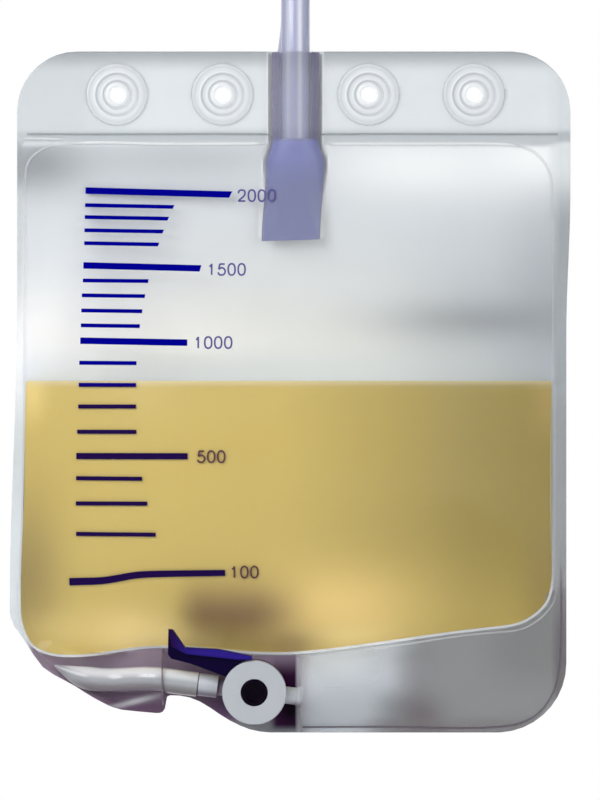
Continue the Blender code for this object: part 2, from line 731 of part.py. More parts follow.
def tap_body(parts, cutters, material):
    """The tap's barrel with its front disc, spigot and stub, bored through for the plug and the flow."""
    bore = PLUG_RADIUS + RUNNING_GAP
    groove = bore + SNAP_HEIGHT
    groove_front = SNAP_DEPTH + SNAP_WIDTH / 2 + RUNNING_GAP
    groove_back = SNAP_DEPTH - SNAP_WIDTH / 2 - RUNNING_GAP
    barrel = [
        (DISC_HOLE, DISC_FRONT),
        (DISC_RADIUS - DISC_EDGE, DISC_FRONT),
        (DISC_RADIUS, DISC_FRONT - DISC_EDGE),
        (DISC_RADIUS, DISC_FRONT - DISC_DEPTH),
        (BARREL_RADIUS, DISC_FRONT - DISC_DEPTH),
        (BARREL_RADIUS, BARREL_BACK),
        (bore, BARREL_BACK),
        (bore, groove_back),
        (groove, groove_back),
        (groove, groove_front),
        (bore, groove_front),
        (bore, DISC_FRONT - DISC_PLATE),
        (DISC_HOLE, DISC_FRONT - DISC_PLATE),
    ]
    body = turned(barrel, "tap_body", parts, (0, -1, 0), (TAP_X, 0, TAP_Z))
    inside = (bore + BARREL_RADIUS) / 2 + SNAP_HEIGHT / 2
    spigot = [(0.0, inside), (NECK_RADIUS, inside), (NECK_RADIUS, COLLAR_START)]
    spigot += [(COLLAR_RADIUS - COLLAR_EDGE, COLLAR_START), (COLLAR_RADIUS, COLLAR_START + COLLAR_EDGE)]
    spigot += [(COLLAR_RADIUS, COLLAR_END - COLLAR_EDGE), (COLLAR_RADIUS - COLLAR_EDGE, COLLAR_END)]
    step = BARB_LENGTH / BARB_STEPS
    for index in range(BARB_STEPS):
        start = COLLAR_END + index * step
        spigot.append((BARB_ROOT, start))
        spigot.append((BARB_RADIUS, start + step * BARB_RISE))
    spigot += [(BARB_TIP, COLLAR_END + BARB_LENGTH), (0.0, COLLAR_END + BARB_LENGTH)]
    middle = Vector((TAP_X, -FLOW_DEPTH, TAP_Z))
    neck = turned(spigot[::-1], "spigot", cutters, spigot_axis(), middle, ROUND_SIDES // 2)
    combine(body, neck, "UNION")
    stub = [(0.0, inside), (STUB_RADIUS, inside), (STUB_RADIUS, STUB_END), (0.0, STUB_END)]
    spout = turned(stub[::-1], "stub", cutters, -spigot_axis(), middle, ROUND_SIDES // 2)
    combine(body, spout, "UNION")
    reach = STUB_END + COLLAR_END + BARB_LENGTH
    flow = [(FLOW_BORE, reach), (FLOW_BORE, -reach), (0.0, -reach), (0.0, reach)]
    channel = turned(flow, "flow_channel", cutters, spigot_axis(), middle, ROUND_SIDES // 4)
    combine(body, channel, "DIFFERENCE")
    flat = flat_outline(
        [
            (TAP_X - DISC_RADIUS, TAP_Z - 2 * DISC_RADIUS),
            (TAP_X + DISC_RADIUS, TAP_Z - 2 * DISC_RADIUS),
            (TAP_X + DISC_RADIUS, TAP_Z - DISC_FLAT),
            (TAP_X - DISC_RADIUS, TAP_Z - DISC_FLAT),
        ],
        DISC_FRONT + DISC_DEPTH,
        0.0,
        "disc_flat",
        cutters,
    )
    combine(body, flat, "DIFFERENCE")
    return give(body, material)


def around_tap(radius, angle):
    """A point (x, z) about the tap's axis."""
    return TAP_X + radius * math.cos(angle), TAP_Z + radius * math.sin(angle)


def sector(inner, outer, start, stop, steps=4):
    """Outline of a ring's sector about the tap's axis: out along its outer arc and back along its inner."""
    sweep = [start + (stop - start) * k / steps for k in range(steps + 1)]
    return [around_tap(outer, a) for a in sweep] + [around_tap(inner, a) for a in sweep[::-1]]


def tap_lever(parts, cutters, material):
    """The lever: hub behind the barrel, plug inside it, and a channel-shaped arm with an upturned tip."""
    snap = PLUG_RADIUS + SNAP_HEIGHT
    shoulder = DISC_FRONT - DISC_PLATE - RUNNING_GAP
    end = DISC_FRONT - PLUG_END_SETBACK
    pin = DISC_HOLE - RUNNING_GAP
    plug = [
        (0.0, end - PLUG_END_DEPTH),
        (PLUG_END_BORE, end - PLUG_END_DEPTH),
        (PLUG_END_BORE, end),
        (pin, end),
        (pin, shoulder),
        (PLUG_RADIUS, shoulder),
        (PLUG_RADIUS, SNAP_DEPTH + SNAP_WIDTH / 2),
        (snap, SNAP_DEPTH),
        (PLUG_RADIUS, SNAP_DEPTH - SNAP_WIDTH / 2),
        (PLUG_RADIUS, HUB_FRONT),
        (HUB_RADIUS, HUB_FRONT),
        (HUB_RADIUS, HUB_BACK),
        (0.0, HUB_BACK),
    ]
    lever = turned(plug, "tap_lever", parts, (0, -1, 0), (TAP_X, 0, TAP_Z))
    web = sector(WEB_INNER, WEB_OUTER, ROOT_FROM, ROOT_TO)
    web_front = DISC_FRONT - DISC_DEPTH - RUNNING_GAP
    web_back = (HUB_BACK + HUB_FRONT) / 2
    combine(lever, flat_outline(web, web_front, web_back, "lever_web", cutters), "UNION")
    inset = ROOT_INSET / ROOT_INNER
    root = sector(ROOT_INNER, WEB_OUTER + ROOT_INSET, ROOT_FROM + inset, ROOT_TO - inset)
    arm_root = sector(ROOT_INNER + ROOT_INSET, ROOT_OUTER, ROOT_FROM, ROOT_TO)[5:]
    start = around_tap(ROOT_OUTER, ROOT_FROM)
    corners = [ARM_TOP_END, TIP_TOP, TIP_OUTER, TIP_FOOT, ARM_HEEL, ARM_BELLY]
    outline = [start] + [(TAP_X + c.x, TAP_Z + c.z) for c in corners] + arm_root
    root_solid = flat_outline(root, LEVER_BACK + ROOT_LAP, ROOT_BACK, "lever_root", cutters)
    combine(lever, root_solid, "UNION")
    combine(lever, flat_outline(outline, LEVER_FRONT, LEVER_BACK, "lever_arm", cutters), "UNION")
    inner = [(TAP_X + x, TAP_Z + z) for x, z in HOLLOW]
    hollow_front = LEVER_FRONT - LEVER_WALL
    pocket = flat_outline(inner, hollow_front, LEVER_BACK - HOLLOW_OPEN, "lever_hollow", cutters)
    combine(lever, pocket, "DIFFERENCE")
    reach = PLUG_RADIUS + SNAP_HEIGHT + PORT_OVERRUN
    profile = [(FLOW_BORE, reach), (FLOW_BORE, -reach), (0.0, -reach), (0.0, reach)]
    across = Vector((math.sin(TAP_TILT), 0.0, math.cos(TAP_TILT)))
    middle = Vector((TAP_X, -FLOW_DEPTH, TAP_Z))
    port = turned(profile, "plug_port", cutters, across, middle, ROUND_SIDES // 4)
    combine(lever, port, "DIFFERENCE")
    return give(lever, material)


# Hose


def coil_place(angle):
    """A point on the coil's helix, where the angle runs on from turn to turn."""
    depth = COIL_REAR_LAYER - COIL_PITCH * (angle - COIL_START) / (2 * math.pi)
    x = COIL_CENTRE.x + COIL_RADIUS * math.cos(angle)
    z = COIL_CENTRE.z + COIL_RADIUS * math.sin(angle)
    return x, depth, z


def inlet_tube(parts, material):
    """The hose from the valve over the header and down towards the coil."""
    line = natural_curve(HOSE_ROUTE, HOSE_POINTS)
    return give(rod(line, TUBE_RADIUS, "inlet_tube", parts), material)


def inlet_tube_coil(parts, material):
    """The coil's outer shape, a turned ring with rounded edges."""
    half = TUBE_RADIUS + COIL_CLEARANCE
    inner = COIL_RADIUS - half
    outer = COIL_RADIUS + half
    front = -(COIL_REAR_LAYER - COIL_PITCH * COIL_TURNS - half)
    back = -(COIL_REAR_LAYER + half)
    edge = TUBE_RADIUS / 2
    profile = [
        (inner + edge, front),
        (outer - edge, front),
        (outer, front - edge),
        (outer, back + edge),
        (outer - edge, back),
        (inner + edge, back),
        (inner, back + edge),
        (inner, front - edge),
    ]
    ring = turned(profile, "inlet_tube_coil", parts, (0, -1, 0), COIL_CENTRE, COIL_STEPS)
    return give(ring, material)


def coil_tie(parts, cutters, material):
    """A band round the coil where its turns lie together."""
    half = TUBE_RADIUS + COIL_CLEARANCE
    front = COIL_REAR_LAYER - COIL_PITCH * COIL_TURNS - half
    back = COIL_REAR_LAYER + half
    middle = Vector((COIL_CENTRE.x, (front + back) / 2, COIL_CENTRE.z))
    place = Matrix.Translation(middle) @ Matrix.Rotation(-TIE_ANGLE, 4, "Y")
    place = place @ Matrix.Translation((COIL_RADIUS, 0, 0))
    sag = COIL_RADIUS * (1 - math.cos(TIE_WIDTH / 2 / COIL_RADIUS)) + COIL_CLEARANCE
    solids = []
    for grow, width, group, name in (
        (TIE_WALL, TIE_WIDTH, parts, "coil_tie"),
        (0.0, 3 * TIE_WIDTH, cutters, "tie_inside"),
    ):
        radial = 2 * (half + sag + COIL_CLEARANCE + grow)
        deep = back - front + 2 * (COIL_CLEARANCE + grow)
        shape = bmesh.new()
        bmesh.ops.create_cube(shape, size=1.0)
        bmesh.ops.scale(shape, vec=(radial, deep, width), verts=shape.verts)
        mesh = bpy.data.meshes.new(name)
        shape.to_mesh(mesh)
        shape.free()
        solid = keep(mesh, name, group)
        solid.matrix_world = place
        solids.append(solid)
    combine(solids[0], solids[1], "DIFFERENCE")
    return give(solids[0], material)


def far_end():
    """Centre of the hose's far end, at the top of the connector."""
    x, depth, _ = coil_place(COIL_START + COIL_TURNS * 2 * math.pi)
    return Vector((x, depth, CONNECTOR_TOP))


def nozzle_radius(share):
    """Radius of the nozzle at a share of its length from the flange."""
    return NOZZLE_BASE + (NOZZLE_TIP - NOZZLE_BASE) * share


def inlet_tube_end(parts, material):
    """The hose's last stretch, from the coil down into the connector's socket."""
    top = far_end()
    top.z = HOSE_END_TOP
    foot = far_end() - Vector((0, 0, SOCKET_LENGTH - RUNNING_GAP))
    return give(rod([top, foot], TUBE_RADIUS, "inlet_tube_end", parts), material)


def inlet_connector(parts, material):
    """The stepped connector: a socket round the hose, a flange and a tapered nozzle, bored through."""
    wall_inside = SOCKET_RADIUS - SOCKET_WALL
    profile = [(wall_inside, 0.0), (wall_inside, SOCKET_LENGTH), (NOZZLE_BORE, SOCKET_LENGTH)]
    end = SOCKET_LENGTH + FLANGE_LENGTH + NOZZLE_LENGTH
    outside = [(NOZZLE_BORE, end), (nozzle_radius(1.0), end)]
    for index in reversed(range(NOZZLE_STEPS)):
        start = SOCKET_LENGTH + FLANGE_LENGTH + NOZZLE_LENGTH * index / NOZZLE_STEPS
        outside.append((nozzle_radius(index / NOZZLE_STEPS), start + NOZZLE_EDGE))
        outside.append((nozzle_radius((index + NOZZLE_RISE) / NOZZLE_STEPS), start))
    outside += [
        (FLANGE_RADIUS, SOCKET_LENGTH + FLANGE_LENGTH),
        (FLANGE_RADIUS, SOCKET_LENGTH),
        (SOCKET_RADIUS, SOCKET_LENGTH - FLANGE_LENGTH / 2),
        (SOCKET_RADIUS, 0.0),
    ]
    profile += outside
    item = turned(profile, "inlet_connector", parts, (0, 0, -1), far_end(), CONNECTOR_SIDES)
    return give(item, material)


def connector_cap(parts, cutters, material):
    """The cap: a closed sleeve over the nozzle, ribbed for the fingers."""
    start = SOCKET_LENGTH + FLANGE_LENGTH + RUNNING_GAP
    end = start + NOZZLE_LENGTH + CAP_END_GAP
    inside = NOZZLE_BASE + RUNNING_GAP
    outer = inside + CAP_WALL
    profile = [
        (inside, start),
        (inside, end - CAP_WALL),
        (0.0, end - CAP_WALL),
        (0.0, end + CAP_WALL / 2),
        (outer - CAP_WALL / 2, end + CAP_WALL / 2),
        (outer, end),
        (outer, start),
    ]
    top = far_end()
    cap = turned(profile, "connector_cap", parts, (0, 0, -1), top, CONNECTOR_SIDES)
    for index in range(CAP_RIBS):
        angle = 2 * math.pi * (index + 0.5) / CAP_RIBS
        centre = Vector((math.cos(angle), math.sin(angle), 0)) * (outer - CAP_RIB_HEIGHT / 2)
        upper = top + centre - Vector((0, 0, start + CAP_RIB_START))
        lower = top + centre - Vector((0, 0, end - CAP_RIB_SETBACK))
        rib = rod([upper, lower], CAP_RIB_HEIGHT * 2, f"cap_rib_{index}", cutters, 1)
        combine(cap, rib, "UNION")
    return give(cap, material)


def build():
    """Makes every piece of the bag."""
    parts, cutters = start_clean()
    clear_film = finish("clear_film", (0.86, 0.88, 0.90), 0.22, 0.45)
    back_sheet = finish("back_sheet", (0.90, 0.91, 0.92), 0.30)
    liquid = finish("liquid", (0.62, 0.50, 0.18), 0.10)
    valve_blue = finish("valve_blue", (0.24, 0.27, 0.55), 0.30, 0.8)
    clear_tube = finish("clear_tube", (0.75, 0.78, 0.82), 0.15, 0.6)
    soft_tube = finish("soft_tube", (0.80, 0.82, 0.84), 0.20)
    tap_white = finish("tap_white", (0.62, 0.65, 0.68), 0.35)
    lever_blue = finish("lever_blue", (0.02, 0.01, 0.14), 0.25)
    connector_blue = finish("connector_blue", (0.30, 0.40, 0.62), 0.30)
    cap_clear = finish("cap_clear", (0.80, 0.84, 0.88), 0.20, 0.7)
    tie_white = finish("tie_white", (0.82, 0.82, 0.80), 0.60)

    outline = sheet_outline()
    front = film("front_film", front_face, 1.0, outline, parts, cutters)
    hanger_targets(front, cutters)
    pierce(front, cutters)
    window(front, cutters)
    give(front, clear_film)
    back = film("back_film", back_face, -1.0, outline, parts, cutters)
    pierce(back, cutters)
    give(back, back_sheet)
    contents(parts, liquid)
    valve_sleeve(parts, valve_blue)
    inlet_tube(parts, clear_tube)
    inlet_tube_coil(parts, clear_tube)
    coil_tie(parts, cutters, tie_white)
    inlet_tube_end(parts, clear_tube)
    inlet_connector(parts, connector_blue)
    connector_cap(parts, cutters, cap_clear)
    outlet_tube(parts, cutters, soft_tube)
    tap_body(parts, cutters, tap_white)
    tap_lever(parts, cutters, lever_blue)
    for piece in parts.objects:
        piece.data.set_sharp_from_angle(angle=SHARP_ANGLE)


build()
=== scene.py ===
"""Looks of a two-litre urine drainage bag, hung upright and part full.

Metres, +Z up, the front faces -Y. The origin is the middle of the row of hanger holes, and the weld plane of
the two films is y = 0. A depth is a distance forward of that plane, so a point at depth d has y = -d.
"""

from __future__ import annotations

import json
import logging
import math
from collections.abc import Callable, Iterable, Sequence
from dataclasses import dataclass
from enum import Enum

import bmesh
import bpy
import numpy as np
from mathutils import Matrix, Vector

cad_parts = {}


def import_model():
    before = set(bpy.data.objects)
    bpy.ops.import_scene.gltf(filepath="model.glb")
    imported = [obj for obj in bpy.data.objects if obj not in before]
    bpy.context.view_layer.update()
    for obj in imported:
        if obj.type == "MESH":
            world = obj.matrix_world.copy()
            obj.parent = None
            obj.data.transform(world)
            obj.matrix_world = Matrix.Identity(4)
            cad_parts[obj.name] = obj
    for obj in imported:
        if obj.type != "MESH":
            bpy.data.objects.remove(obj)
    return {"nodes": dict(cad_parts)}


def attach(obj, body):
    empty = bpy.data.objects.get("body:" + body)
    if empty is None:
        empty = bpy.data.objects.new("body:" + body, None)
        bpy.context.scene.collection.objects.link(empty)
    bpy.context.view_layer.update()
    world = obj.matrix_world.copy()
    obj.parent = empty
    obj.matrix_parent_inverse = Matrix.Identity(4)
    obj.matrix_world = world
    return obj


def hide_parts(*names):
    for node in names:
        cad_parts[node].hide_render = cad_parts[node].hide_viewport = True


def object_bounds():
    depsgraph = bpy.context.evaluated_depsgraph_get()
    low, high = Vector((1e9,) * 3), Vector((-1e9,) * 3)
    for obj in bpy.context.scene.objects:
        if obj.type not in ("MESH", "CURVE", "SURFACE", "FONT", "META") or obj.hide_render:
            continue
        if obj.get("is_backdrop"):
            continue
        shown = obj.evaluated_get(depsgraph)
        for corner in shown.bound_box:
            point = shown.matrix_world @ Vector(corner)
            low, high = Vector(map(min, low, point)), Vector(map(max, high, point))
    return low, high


LOG = logging.getLogger("drainage_bag")
MILLIMETRE = 0.001

Array = np.ndarray
Mesh = bpy.types.Mesh
Material = bpy.types.Material
Object = bpy.types.Object
Tone = tuple[float, float, float]
Layers = Sequence[tuple[Tone, Array]]
Profile = Sequence[tuple[float, float]]
Line = tuple[tuple[float, float], ...]
Route = tuple[tuple[float, float, float], ...]


class Body(Enum):
    """The moving bodies of the frame."""

    BAG = "bag"
    LEVER = "lever"
    CAP = "cap"


class Side(Enum):
    """Which film of the pair."""

    FRONT = 1.0
    BACK = -1.0


def smoothstep(t: Array | float) -> Array:
    """Runs from 0 to 1 with level ends: 3t^2 - 2t^3 on t held between 0 and 1."""
    held = np.clip(t, 0.0, 1.0)
    return held * held * (3.0 - 2.0 * held)


def rise(at: Array | float, start: Array | float, width: float) -> Array:
    """A smooth step up that begins at start and ends a width above it."""
    return smoothstep((at - start) / width)


def fall(at: Array, start: Array | float, width: float) -> Array:
    """A smooth step that begins at start and grows as the place goes below it, over a width."""
    return smoothstep((start - at) / width)


def angles(count: int) -> Array:
    """Evenly spaced angles of one full turn."""
    return np.linspace(0.0, 2 * math.pi, count, endpoint=False)


def hill(x: Array, z: Array, centre: tuple[float, float], spread: tuple[float, float]) -> Array:
    """A round hill of height 1: exp of minus the squared distance from the centre, in units of the spread."""
    return np.exp(-(((x - centre[0]) / spread[0]) ** 2) - ((z - centre[1]) / spread[1]) ** 2)


def tone(red: float, green: float, blue: float) -> Array:
    """Linear colour of a tone written as 0 to 255, by the sRGB curve."""
    written = np.array([red, green, blue], float) / 255.0
    return np.where(written <= 0.04045, written / 12.92, ((written + 0.055) / 1.055) ** 2.4)


def bell(at: Array, middle: float, width: float, power: int = 2) -> Array:
    """A bell of height 1: exp of minus a power of the distance from its middle, in units of its width."""
    return np.exp(-(((at - middle) / width) ** power))


def blend(base: Array, other: Array, share: Array) -> Array:
    """Mixes two colours, or fields of them, by a share between 0 and 1."""
    share = np.clip(np.asarray(share, float), 0.0, 1.0)[..., None]
    return base * (1.0 - share) + other * share


def filled(shape: tuple[int, ...], red: float, green: float, blue: float) -> Array:
    """One tone at every point of a field."""
    return np.broadcast_to(tone(red, green, blue), (*shape, 3))


def layered(base: Array, layers: Layers) -> Array:
    """Blends tones over a base in order, each by its own share."""
    for colour, share in layers:
        base = blend(base, tone(*colour), share)
    return base


def natural_curve(points: Iterable[Sequence[float]], samples: int) -> Array:
    """A smooth curve through points: a natural cubic spline over the distance between them.

    Args:
        points: The places that the curve passes.
        samples: How many evenly spaced points to return.

    Returns:
        An array of samples by as many numbers as a point has.
    """
    knots_at = np.array(list(points), float)
    steps = np.linalg.norm(np.diff(knots_at, axis=0), axis=1)
    knots = np.concatenate([[0.0], np.cumsum(steps)])
    count = len(knots_at)
    inner = np.arange(1, count - 1)
    system = np.eye(count)
    system[inner, inner - 1] = steps[:-1]
    system[inner, inner] = 2 * (steps[:-1] + steps[1:])
    system[inner, inner + 1] = steps[1:]
    slopes = np.diff(knots_at, axis=0) / steps[:, None]
    right = np.zeros((count, knots_at.shape[1]))
    right[1:-1] = 6 * np.diff(slopes, axis=0)
    bends = np.linalg.solve(system, right)
    at = np.linspace(0.0, knots[-1], samples)
    span = np.clip(np.searchsorted(knots, at, side="right") - 1, 0, count - 2)
    h = steps[span][:, None]
    before = (knots[span + 1] - at)[:, None]
    after = (at - knots[span])[:, None]
    return (
        bends[span] * before**3 / (6 * h)
        + bends[span + 1] * after**3 / (6 * h)
        + (knots_at[span] / h - bends[span] * h / 6) * before
        + (knots_at[span + 1] / h - bends[span + 1] * h / 6) * after
    )


# Shape of the bag


@dataclass(frozen=True)
class BagShape:
    """The surfaces that every piece of the bag is set against, from the same sizes as the solids."""

    film: float = 0.0003
    weld_gap: float = 0.0003
    soft_gap: float = 0.0008
    top: float = 0.018
    left: float = -0.1162
    right: float = 0.1148
    left_lean: float = -0.003
    right_lean: float = -0.0017
    header_radius: float = 0.025
    chamber_left: float = -0.113
    chamber_right: float = 0.1075
    chamber_top: float = -0.0205
    left_bulge: float = 0.0022
    liquid_level: float = -0.1204
    fullest: float = -0.155
    front_swell: float = 0.019
    back_swell: float = 0.023
    side_power: float = 2.6
    window_left: float = -0.0545
    window_right: float = 0.002
    window_top: float = -0.2345
    pocket_reach: float = 0.075
    pocket_foot: float = -0.263
    tube_radius: float = 0.006
    tube_end: float = -0.02
    sleeve_top: float = 0.0176
    sleeve_foot: float = -0.0608
    sleeve_width: float = 0.0099
    sleeve_width_below: float = 0.0122
    sleeve_widest: float = -0.028
    tent_margin: float = 0.0013
    tent_fade: float = 0.006
    outlet_radius: float = 0.00515
    outlet_reach: float = 0.0112
    tap_axis: tuple[float, float] = (-0.01705, -0.2487)
    flow_depth: float = 0.0075
    flow_tilt: float = math.radians(7.0)
    stub_radius: float = 0.00425
    collar_end: float = 0.0236
    barb_length: float = 0.013
    hole_places: tuple[float, ...] = (-0.0745, -0.0305, 0.0305, 0.0745)
    outlet_route: Route = (
        (-0.1005, 0.0, -0.2383), (-0.0943, -0.0004, -0.2412), (-0.0871, -0.001, -0.2435),
        (-0.0735, -0.0016, -0.2443),
    )
    outlet_taper: float = 0.0175
    tube_clear: float = 0.0003
    valve_lean: float = -0.0019
    foot_radius: float = 0.029
    chamber_foot_mm: Line = (
        (-115.2, -213.0), (-114.6, -219.5), (-112.4, -226.0), (-110.0, -229.8), (-106.0, -232.3),
        (-99.3, -234.0), (-90.1, -234.1), (-78.8, -233.0), (-69.6, -231.6), (-62.0, -230.8),
        (-56.6, -230.6), (-46.2, -230.7), (-33.0, -231.7), (-21.0, -232.8), (-7.3, -233.3), (4.0, -232.8),
        (20.0, -231.0), (46.2, -227.4), (74.2, -223.6), (85.0, -222.4), (94.5, -220.4), (101.0, -216.4),
        (105.2, -211.6), (106.9, -206.0),
    )
    foot_line_mm: Line = (
        (-119.2, -216.2), (-118.4, -220.6), (-114.3, -226.1), (-111.0, -231.2), (-108.1, -235.9),
        (-105.4, -239.1), (-102.4, -241.3), (-98.4, -243.5), (-93.0, -246.2), (-88.8, -248.9),
        (-85.1, -251.2), (-80.9, -253.5), (-76.7, -255.6), (-72.5, -256.8), (-65.0, -257.6),
        (-58.0, -258.2), (-56.4, -258.1), (-55.3, -257.5), (-54.5, -256.3), (-53.6, -251.4),
        (-52.4, -250.8), (-48.3, -250.9), (-44.1, -251.7), (-39.9, -253.4), (-35.7, -255.9),
        (-31.6, -258.7), (-27.4, -261.3), (-23.2, -263.4), (-19.0, -265.0), (-14.8, -265.9),
        (-10.7, -266.3), (84.1, -266.3),
    )

    def foot_edge(self, x: Array) -> Array:
        """Lower edge of the sheet at x: straight between the measured corners, then a quarter circle."""
        line = np.array(self.foot_line_mm) * MILLIMETRE
        low = np.interp(x, line[:, 0], line[:, 1])
        centre = self.right + self.right_lean - self.foot_radius
        short = np.clip(x - centre, 0.0, self.foot_radius)
        drop = np.sqrt(np.clip(self.foot_radius**2 - short**2, 0.0, None))
        return low + (self.foot_radius - drop) * (x > centre)

    def chamber_foot(self, x: Array) -> Array:
        """Height of the chamber's lower weld at x, on the smooth curve through its measured places."""
        line = natural_curve([(a * MILLIMETRE, b * MILLIMETRE) for a, b in self.chamber_foot_mm], 260)
        return np.interp(x, line[:, 0], line[:, 1])

    def left_shift(self, z: Array) -> Array:
        """How far the chamber's left side has moved out at z, where the liquid's weight fills it."""
        return self.left_bulge * fall(z, -0.14, 0.07)

    def pillow(self, x: Array, z: Array) -> Array:
        """Share of the swell: one less a power of the distance across, times powers of the height."""
        left = self.chamber_left - self.left_shift(z)
        half = (self.chamber_right - left) / 2
        middle = (left + self.chamber_right) / 2
        across = np.clip(np.abs(x - middle) / half, 0.0, 1.0)
        upper = np.clip((z - self.fullest) / (self.chamber_top - self.fullest), 0.0, 1.0)
        lower = np.clip((self.fullest - z) / (self.fullest - self.chamber_foot(x)), 0.0, 1.0)
        return (1.0 - across**self.side_power) * (1.0 - upper**2) ** 2 * (1.0 - lower**2)

    def sleeve_size(self, z: Array) -> tuple[Array, Array]:
        """Half width and half thickness of the valve: round over the tube, flat and wide at its foot."""
        opened = fall(z, self.tube_end, self.tube_end - self.sleeve_widest)
        flattened = fall(z, self.tube_end, self.tube_end - self.sleeve_foot)
        full = self.tube_radius + 0.00055
        width = self.sleeve_width + (self.sleeve_width_below - self.sleeve_width) * opened
        return width, full + (0.001 - full) * flattened

    def valve_middle(self, z: Array) -> Array:
        """Middle of the valve, which leans to the left on its way down."""
        return self.valve_lean * fall(z, self.sleeve_widest, self.sleeve_widest - self.sleeve_foot)

    def valve_tent(self, x: Array, z: Array) -> Array:
        """Films stand clear of the valve in an arch, a cosine to the power 0.6, faded out below its foot."""
        width, height = self.sleeve_size(z)
        across = np.clip(np.abs(x - self.valve_middle(z)) / (width + self.tent_margin), 0.0, 1.0)
        shape = np.cos(across * math.pi / 2) ** 0.6
        fade = rise(z, self.sleeve_foot - self.tent_fade, self.tent_fade)
        return (height + self.soft_gap) * shape * fade

    def flow_axis(self) -> Array:
        """Direction of the tap's spigot, out from the barrel to the left."""
        return np.array([-math.cos(self.flow_tilt), 0.0, math.sin(self.flow_tilt)])

    def flow_point(self, distance: float) -> Array:
        """A point on the tap's flow axis, a distance to the left of the barrel's axis."""
        origin = np.array([self.tap_axis[0], -self.flow_depth, self.tap_axis[1]])
        return origin + self.flow_axis() * distance

    def outlet_line(self, samples: int = 60) -> Array:
        """Centre line of the outlet tube, from the chamber's corner to the tap's collar."""
        end = self.flow_point(self.collar_end + self.tube_clear)
        straight = [end + self.flow_axis() * self.barb_length * share for share in (1.3, 0.9, 0.45, 0.0)]
        return natural_curve([*self.outlet_route, *straight], samples)

    def outlet_tent(self, x: Array, z: Array, side: Side) -> Array:
        """Films stand clear of the outlet tube: the root of one less the squares of two distances."""
        line = self.outlet_line()
        along = np.clip(x, line[0, 0], line[-1, 0])
        middle = np.interp(along, line[:, 0], line[:, 2])
        forward = -np.interp(along, line[:, 0], line[:, 1])
        clear = self.outlet_radius + self.soft_gap + side.value * forward
        before = np.clip((line[0, 0] - x) / self.outlet_reach, 0.0, 1.0)
        across = np.clip(np.abs(z - middle) / self.outlet_reach, 0.0, 1.0)
        rounded_end = np.sqrt(np.clip(1.0 - across**2 - before**2, 0.0, 1.0))
        past = smoothstep((line[-1, 0] - x) / self.outlet_reach + 1.0)
        welded = rise(z, self.foot_edge(x), 0.004)
        narrow = 0.4 + 0.6 * rise(x, line[0, 0], self.outlet_taper)
        return np.maximum(clear, 0.0) * rounded_end * past * welded * narrow

    def pocket_tent(self, x: Array, z: Array) -> Array:
        """The pocket stands open over the tap's stub and closes to the right, an arch from foot to top."""
        top = self.chamber_foot(x)
        middle = (top + self.pocket_foot) / 2
        across = np.clip(np.abs(z - middle) / ((top - self.pocket_foot) / 2), 0.0, 1.0)
        open_share = 1.0 - rise(x, self.window_right, self.pocket_reach)
        mouth = self.flow_depth + self.stub_radius + 2 * self.soft_gap
        return mouth * open_share * (1.0 - across**2) * (x >= 0.0)

    def creases(self, x: Array, z: Array) -> Array:
        """Slack of the front film: slow waves across the empty part, and puckers that fan from the tap."""
        pillow = self.pillow(x, z)
        slack = rise(z, self.liquid_level, 0.02) * np.clip(pillow * 4.0, 0.0, 1.0)
        waves = np.sin(z * 190.0 + x * 14.0 + 0.8 * np.sin(x * 31.0)) * 0.0003
        slant = np.sin(z * 75.0 - x * 52.0 + 1.3) * 0.00035
        away = np.hypot(x + 0.03, z + 0.238)
        fan = np.sin(np.arctan2(z + 0.262, x + 0.03) * 17.0) * np.exp(-away / 0.016) * 0.0007
        low = rise(z, self.window_top, 0.006) * np.clip(pillow * 6.0, 0.0, 1.0)
        return slack * (waves + slant) + fan * low

    def depth(self, x: Array, z: Array, side: Side) -> Array:
        """Distance of a film's inner face from the weld plane: the highest of its swells, and its creases."""
        swell = self.front_swell if side is Side.FRONT else self.back_swell
        lifted = np.maximum(swell * self.pillow(x, z), self.valve_tent(x, z))
        lifted = np.maximum(lifted, self.outlet_tent(x, z, side))
        if side is Side.FRONT:
            lifted = np.maximum(lifted, self.pocket_tent(x, z)) + self.creases(x, z)
        return self.weld_gap / 2 + np.maximum(lifted, 0.0)

    def outer_face(self, x: Array, z: Array) -> Array:
        """Depth of the front film's outer face, which prints and beads lie on."""
        return self.depth(x, z, Side.FRONT) + self.film


SHAPE = BagShape()


# Meshes


def grid_faces(rows: int, columns: int, around: bool = False, along: bool = False) -> Array:
    """Quads of a grid of points, whose rows or columns may close on themselves.

    Args:
        rows: Number of points along the first axis.
        columns: Number of points along the second axis.
        around: Whether the second axis closes.
        along: Whether the first axis closes.

    Returns:
        An array of face by 4 point numbers.
    """
    i = np.arange(rows if along else rows - 1)[:, None]
    j = np.arange(columns if around else columns - 1)[None, :]
    i, j = np.broadcast_arrays(i, j)
    n, m = (i + 1) % rows, (j + 1) % columns
    corners = [i * columns + j, i * columns + m, n * columns + m, n * columns + j]
    return np.stack([c.ravel() for c in corners], axis=1)


def into_mesh(name: str, points: Array, faces: Array) -> Mesh:
    """Puts points and quads into a new mesh by foreach_set."""
    mesh = bpy.data.meshes.new(name)
    flat = np.ascontiguousarray(points, np.float32).reshape(-1)
    mesh.vertices.add(len(flat) // 3)
    mesh.vertices.foreach_set("co", flat)
    mesh.loops.add(faces.size)
    mesh.loops.foreach_set("vertex_index", np.ascontiguousarray(faces, np.int32).reshape(-1))
    mesh.polygons.add(len(faces))
    mesh.polygons.foreach_set("loop_start", np.arange(0, faces.size, faces.shape[1], dtype=np.int32))
    mesh.update(calc_edges=True)
    mesh.validate()
    return mesh


